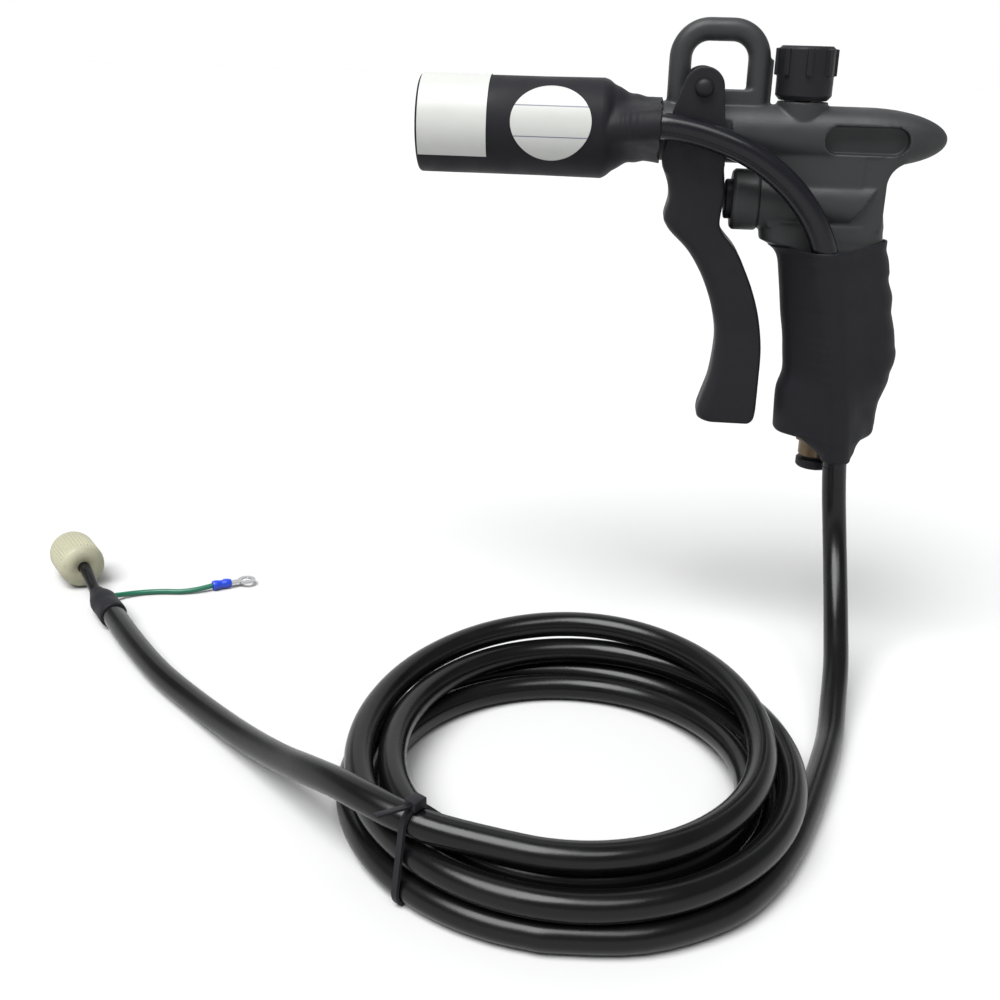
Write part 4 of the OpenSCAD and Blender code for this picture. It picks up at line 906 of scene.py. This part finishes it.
class AIRGUN_OT_nozzle(bpy.types.Operator):
    """Makes the sleeved nozzle with its tube, earth ring and emitter needle"""
    bl_idname = "air_gun.nozzle"
    bl_label = "Nozzle"

    def execute(self, context):
        sizes = context.scene.air_gun_sizes
        self.sleeve(sizes)
        parts = (("nozzle_tube", black_plastic, 0.0004), ("earth_ring", steel, 0.0003),
                 ("needle_holder", black_plastic, 0.00028), ("emitter_needle", steel, 0.00012))
        for node, finish, voxel in parts:
            fine_copy(node + "_fine", node, finish, voxel)
        lead = smooth_rows(LEAD_ROUTE, 5)
        cord_piece("needle_lead_skin", lead, sizes.lead_d, cable_jacket, "needle_lead")
        dress(black_plastic, "nozzle_adapter")
        return {"FINISHED"}

    def sleeve(self, sizes):
        """Shrink sleeve, wavy towards its rear and a little ragged at its end."""
        lip, wave_size, calm, wave_from, wave_run = 0.0006, 0.007, 0.3, 0.026, 0.012
        rag_size, rag_depth, rag_length = 0.005, 0.0009, 0.003
        bm = bmesh.new()
        shell(bm, sleeve_rings(sizes.sleeve_wall, lip), sleeve_rings(0, 0))
        bm.normal_update()
        for v in bm.verts:
            rear = max(0.0, min(1.0, (v.co.x - SLEEVE_END + wave_from) / wave_run))
            end = max(0.0, min(1.0, (v.co.x - SLEEVE_END + rag_length) / rag_length))
            wave = noise.noise(v.co / wave_size)
            v.co += Vector((0, v.normal.y, v.normal.z)) * sizes.sleeve_wave * wave * (calm + rear)
            v.co.x += rag_depth * end * noise.noise(v.co / rag_size)
        piece("nozzle_shrink", bm, shrink_sleeve, "nozzle_sleeve", sharp=55)


class AIRGUN_OT_labels(bpy.types.Operator):
    """Makes the wrapped label and the round label"""
    bl_idname = "air_gun.labels"
    bl_label = "Labels"

    def execute(self, context):
        flat = math.radians(0.5)
        for name, node, finish in (("wrap_sticker", "wrap_label", plain_label),
                                   ("round_sticker", "round_label", lined_label)):
            bm = copied(node)
            bmesh.ops.dissolve_limit(bm, angle_limit=flat, verts=bm.verts, edges=bm.edges)
            piece(name, bm, finish, node, sharp=30)
        return {"FINISHED"}


class AIRGUN_OT_trigger(bpy.types.Operator):
    """Makes the trigger lever and its pivot pin"""
    bl_idname = "air_gun.trigger"
    bl_label = "Trigger"

    def execute(self, context):
        sizes = context.scene.air_gun_sizes
        bm = bmesh.new()
        loft(bm, self.finger_rings()[::-1])
        for side in (-1, 1):
            self.cheek(bm, side)
        self.nub(bm)
        finer, near, inside = 0.92, 0.0042, 0.002
        bm = melted(bm, sizes.body_voxel * finer, 8)
        seam = FINGER_TOP - EAR_LAP
        joint = [v for v in bm.verts
                 if abs(v.co.z - seam) < near and abs(v.co.y) > FORK_IN - inside]
        for _ in range(60):
            bmesh.ops.smooth_vert(bm, verts=joint, factor=0.5, use_axis_x=True, use_axis_y=True,
                                  use_axis_z=True)
        mark_edges(bm)
        lever = piece("lever", bm, black_plastic, "trigger_lever", body="trigger", sharp=70)
        self.drill(lever)
        for node in ("pivot_pin", "pin_cap"):
            fine_copy(node + "_fine", node, black_plastic, voxel=0.0002, rounds=3)
        return {"FINISHED"}

    def finger_rings(self):
        rings = []
        for share, front, back in smooth_rows(FINGER_LINE, 6):
            half = FORK_OUT + (FINGER_TIP_HALF - FORK_OUT) * min(1, FINGER_TAPER * share)
            corners = ((PIVOT[0] + front + FINGER_FRONT_R, FINGER_FRONT_R),
                       (PIVOT[0] + back - FINGER_BACK_R, FINGER_BACK_R))
            discs = [(x, y, r) for x, r in corners for y in (half - r, r - half)]
            rings.append(level(taut_outline(discs, 80), FINGER_TOP - share * FINGER_LENGTH))
        return rings

    def cheek(self, bm, side):
        """Side plate: the round ear, and its run down to the finger part."""
        x, z = PIVOT
        low = FINGER_TOP - EAR_LAP
        run = [(x - 0.95 * EAR_R, z + 0.31 * EAR_R), (x - 0.0114, z - 0.0088),
               (x - 0.0146, FINGER_TOP + EAR_LAP), (x - 0.0142, FINGER_TOP), (x - 0.0132, low),
               (x + 0.0107, low), (x + 0.01, BARREL_Z - 0.005), (x + EAR_R, z)]
        for outline in (circle(x, z, EAR_R, 64), run):
            slab(bm, outline, side * FORK_IN, side * FORK_OUT)

    def nub(self, bm):
        """Rounded rib that meets the valve's button."""
        slab(bm, circle(*NUB, NUB_R, 48), -NUB_HALF, NUB_HALF)

    def drill(self, lever):
        """Bores the pin's hole through both ears."""
        bm = bmesh.new()
        across = Matrix.Rotation(math.pi / 2, 4, "X")
        through = 0.06
        bmesh.ops.create_cone(bm, cap_ends=True, segments=64, radius1=PIN_HOLE_R,
                              radius2=PIN_HOLE_R, depth=through,
                              matrix=Matrix.Translation((PIVOT[0], 0, PIVOT[1])) @ across)
        bit = placed("drill", mesh_of("drill", bm))
        cut = lever.modifiers.new("Pin hole", "BOOLEAN")
        cut.object = bit
        cut.operation = "DIFFERENCE"
        cut.solver = "EXACT"
        mesh = evaluated(lever)
        mesh.name = lever.name
        lever.modifiers.clear()
        lever.data = mesh
        bpy.data.objects.remove(bit)


class AIRGUN_OT_valve(bpy.types.Operator):
    """Makes the valve's cap and button, and finishes what is inside"""
    bl_idname = "air_gun.valve"
    bl_label = "Valve"

    def execute(self, context):
        sizes = context.scene.air_gun_sizes
        fine_copy("valve_cap_fine", "valve_cap", body_plastic, sizes.small_voxel, rounds=3)
        bm = melted(copied("valve_stem"), sizes.small_voxel, 3)
        bm.normal_update()
        for v in bm.verts:
            v.co -= v.normal * sizes.small_voxel / 4
        mark_edges(bm)
        piece("button_and_stem", bm, black_plastic, "valve_stem", body="valve_stem")
        dress(seal_rubber, "valve_seal", "stem_o_ring")
        dress(steel, "valve_spring")
        return {"FINISHED"}


class AIRGUN_OT_regulator(bpy.types.Operator):
    """Makes the ribbed flow knob, and finishes what is under it"""
    bl_idname = "air_gun.regulator"
    bl_label = "Regulator"

    def execute(self, context):
        sizes = context.scene.air_gun_sizes
        fine_copy("flow_knob", "regulator_knob", black_plastic, sizes.small_voxel, rounds=3,
                  body="knob")
        dress(brass, "regulator_gland", "regulator_needle")
        dress(seal_rubber, "regulator_o_ring")
        return {"FINISHED"}


def handle_rows():
    """Handle's smooth sections as height, front, back and half width."""
    rows = smooth_rows(HANDLE_LINE, 6)
    return [(BARREL_Z + s * (HANDLE_BOTTOM - BARREL_Z), f, b, w * HANDLE_HALF_W)
            for s, f, b, w in rows]


def cable_at(route, z):
    return min(route, key=lambda p: abs(p[2] - z))


class AIRGUN_OT_grip(bpy.types.Operator):
    """Makes the grip's shrink sleeve, the cable under it, and the air fitting"""
    bl_idname = "air_gun.grip"
    bl_label = "Grip"

    def execute(self, context):
        sizes = context.scene.air_gun_sizes
        route = smooth_rows(UPPER_ROUTE, 12)
        # Cable on the gun, in the lighter copy of the jacket: painted light
        cord_piece("held_cable", route, sizes.cable_d, held_jacket_painted_light, "cable_upper")
        self.sleeve(sizes, route)
        for node, finish, body in (("air_fitting", brass, "gun"),
                                   ("release_ring", black_plastic, "release_ring")):
            fine_copy(node + "_fine", node, finish, voxel=0.00022, body=body)
        dress(seal_rubber, "tube_seal")
        return {"FINISHED"}

    def sleeve(self, sizes, route):
        """Shrink sleeve round handle and cable, and its end that closes on the cable."""
        wall = sizes.sleeve_wall
        bm = bmesh.new()
        shell(bm, self.grip_rings(wall, route), self.grip_rings(0, route))
        ripple(bm, size=0.012, depth=sizes.sleeve_wave)
        shell(bm, self.gaiter_rings(wall, route), self.gaiter_rings(0, route))
        bm = melted(bm, sizes.body_voxel, 4)
        piece("grip_shrink", bm, shrink_sleeve, "grip_sleeve", sharp=55)

    def grip_rings(self, wall, route):
        rows = [(*row, 0) for row in handle_rows() if row[0] < GRIP_TOP]
        rows = [(GRIP_TOP, *rows[0][1:])] + rows
        for part in (0.3, 0.6, 0.85, 1):
            rows.append((HANDLE_BOTTOM - part * SKIRT, *rows[-1][1:4], part ** 2 * SKIRT_IN))
        folds = smooth_rows(REAR_FOLDS, 6)
        reach = 0.0025
        rings = []
        for z, front, back, half, pulled in rows:
            over = half + GRIP_SLACK + wall - pulled
            discs = [(front + half, 0, over), (back - half, 0, over)]
            for p in (cable_at(route, z - reach), cable_at(route, z + reach)):
                discs.append((p[0], p[1], CABLE_HUG + wall))
            ring = level(taut_outline(discs, GRIP_POINTS), z)
            fold = min(folds, key=lambda row: abs(row[0] - z))[1]
            middle = (front + back) / 2
            for p in ring:
                p.x += fold * max(0, (p.x - middle) / (back - middle)) ** 3
            rings.append(ring)
        middle = (rows[0][1] + rows[0][2]) / 2
        for p in rings[0]:
            p.z += RIM_RISE * max(0, p.x - middle) / (rows[0][2] - middle)
        return rings

    def gaiter_rings(self, wall, route):
        top, low = HANDLE_BOTTOM - GAITER_START, HANDLE_BOTTOM - GAITER_LENGTH
        rings = []
        for share, front, back, corner, behind in smooth_rows(GAITER_LINE, 5):
            z = top + share * (low - top)
            p = cable_at(route, z)
            inset = corner + GAITER_INSET
            discs = [(p[0], p[1], GAITER_HUG + wall)]
            discs += [(x, p[1] + behind, corner + wall) for x in (front + inset, back - inset)]
            rings.append(level(taut_outline(discs, GRIP_POINTS), z))
        return rings


class AIRGUN_PT_panel(bpy.types.Panel):
    """Lists the pieces in the sidebar"""
    bl_idname = "AIRGUN_PT_panel"
    bl_label = "Air Gun"
    bl_space_type = "VIEW_3D"
    bl_region_type = "UI"
    bl_category = "Air Gun"

    def draw(self, context):
        for made in OPERATORS:
            self.layout.operator(made.bl_idname)
        for group in (context.scene.air_gun_sizes, context.scene.air_gun_finishes):
            box = self.layout.box()
            for name in group.bl_rna.properties.keys():
                if name not in ("rna_type", "name"):
                    box.prop(group, name)


OPERATORS = (
    AIRGUN_OT_stage, AIRGUN_OT_cable_end, AIRGUN_OT_earth_lead, AIRGUN_OT_cable, AIRGUN_OT_body,
    AIRGUN_OT_nozzle, AIRGUN_OT_labels, AIRGUN_OT_trigger, AIRGUN_OT_valve, AIRGUN_OT_regulator,
    AIRGUN_OT_grip,
)
CLASSES = (AirGunSizes, AirGunFinishes, *OPERATORS, AIRGUN_PT_panel)


def register():
    for made in CLASSES:
        bpy.utils.register_class(made)
    bpy.types.Scene.air_gun_sizes = PointerProperty(type=AirGunSizes)
    bpy.types.Scene.air_gun_finishes = PointerProperty(type=AirGunFinishes)


def unregister():
    del bpy.types.Scene.air_gun_finishes
    del bpy.types.Scene.air_gun_sizes
    for made in reversed(CLASSES):
        bpy.utils.unregister_class(made)


def main():
    register()
    bpy.ops.air_gun.stage()
    bpy.ops.air_gun.cable_end()
    bpy.ops.air_gun.earth_lead()
    bpy.ops.air_gun.cable()
    bpy.ops.air_gun.body()
    bpy.ops.air_gun.nozzle()
    bpy.ops.air_gun.labels()
    bpy.ops.air_gun.trigger()
    bpy.ops.air_gun.valve()
    bpy.ops.air_gun.regulator()
    bpy.ops.air_gun.grip()


if __name__ == "__main__":
    main()
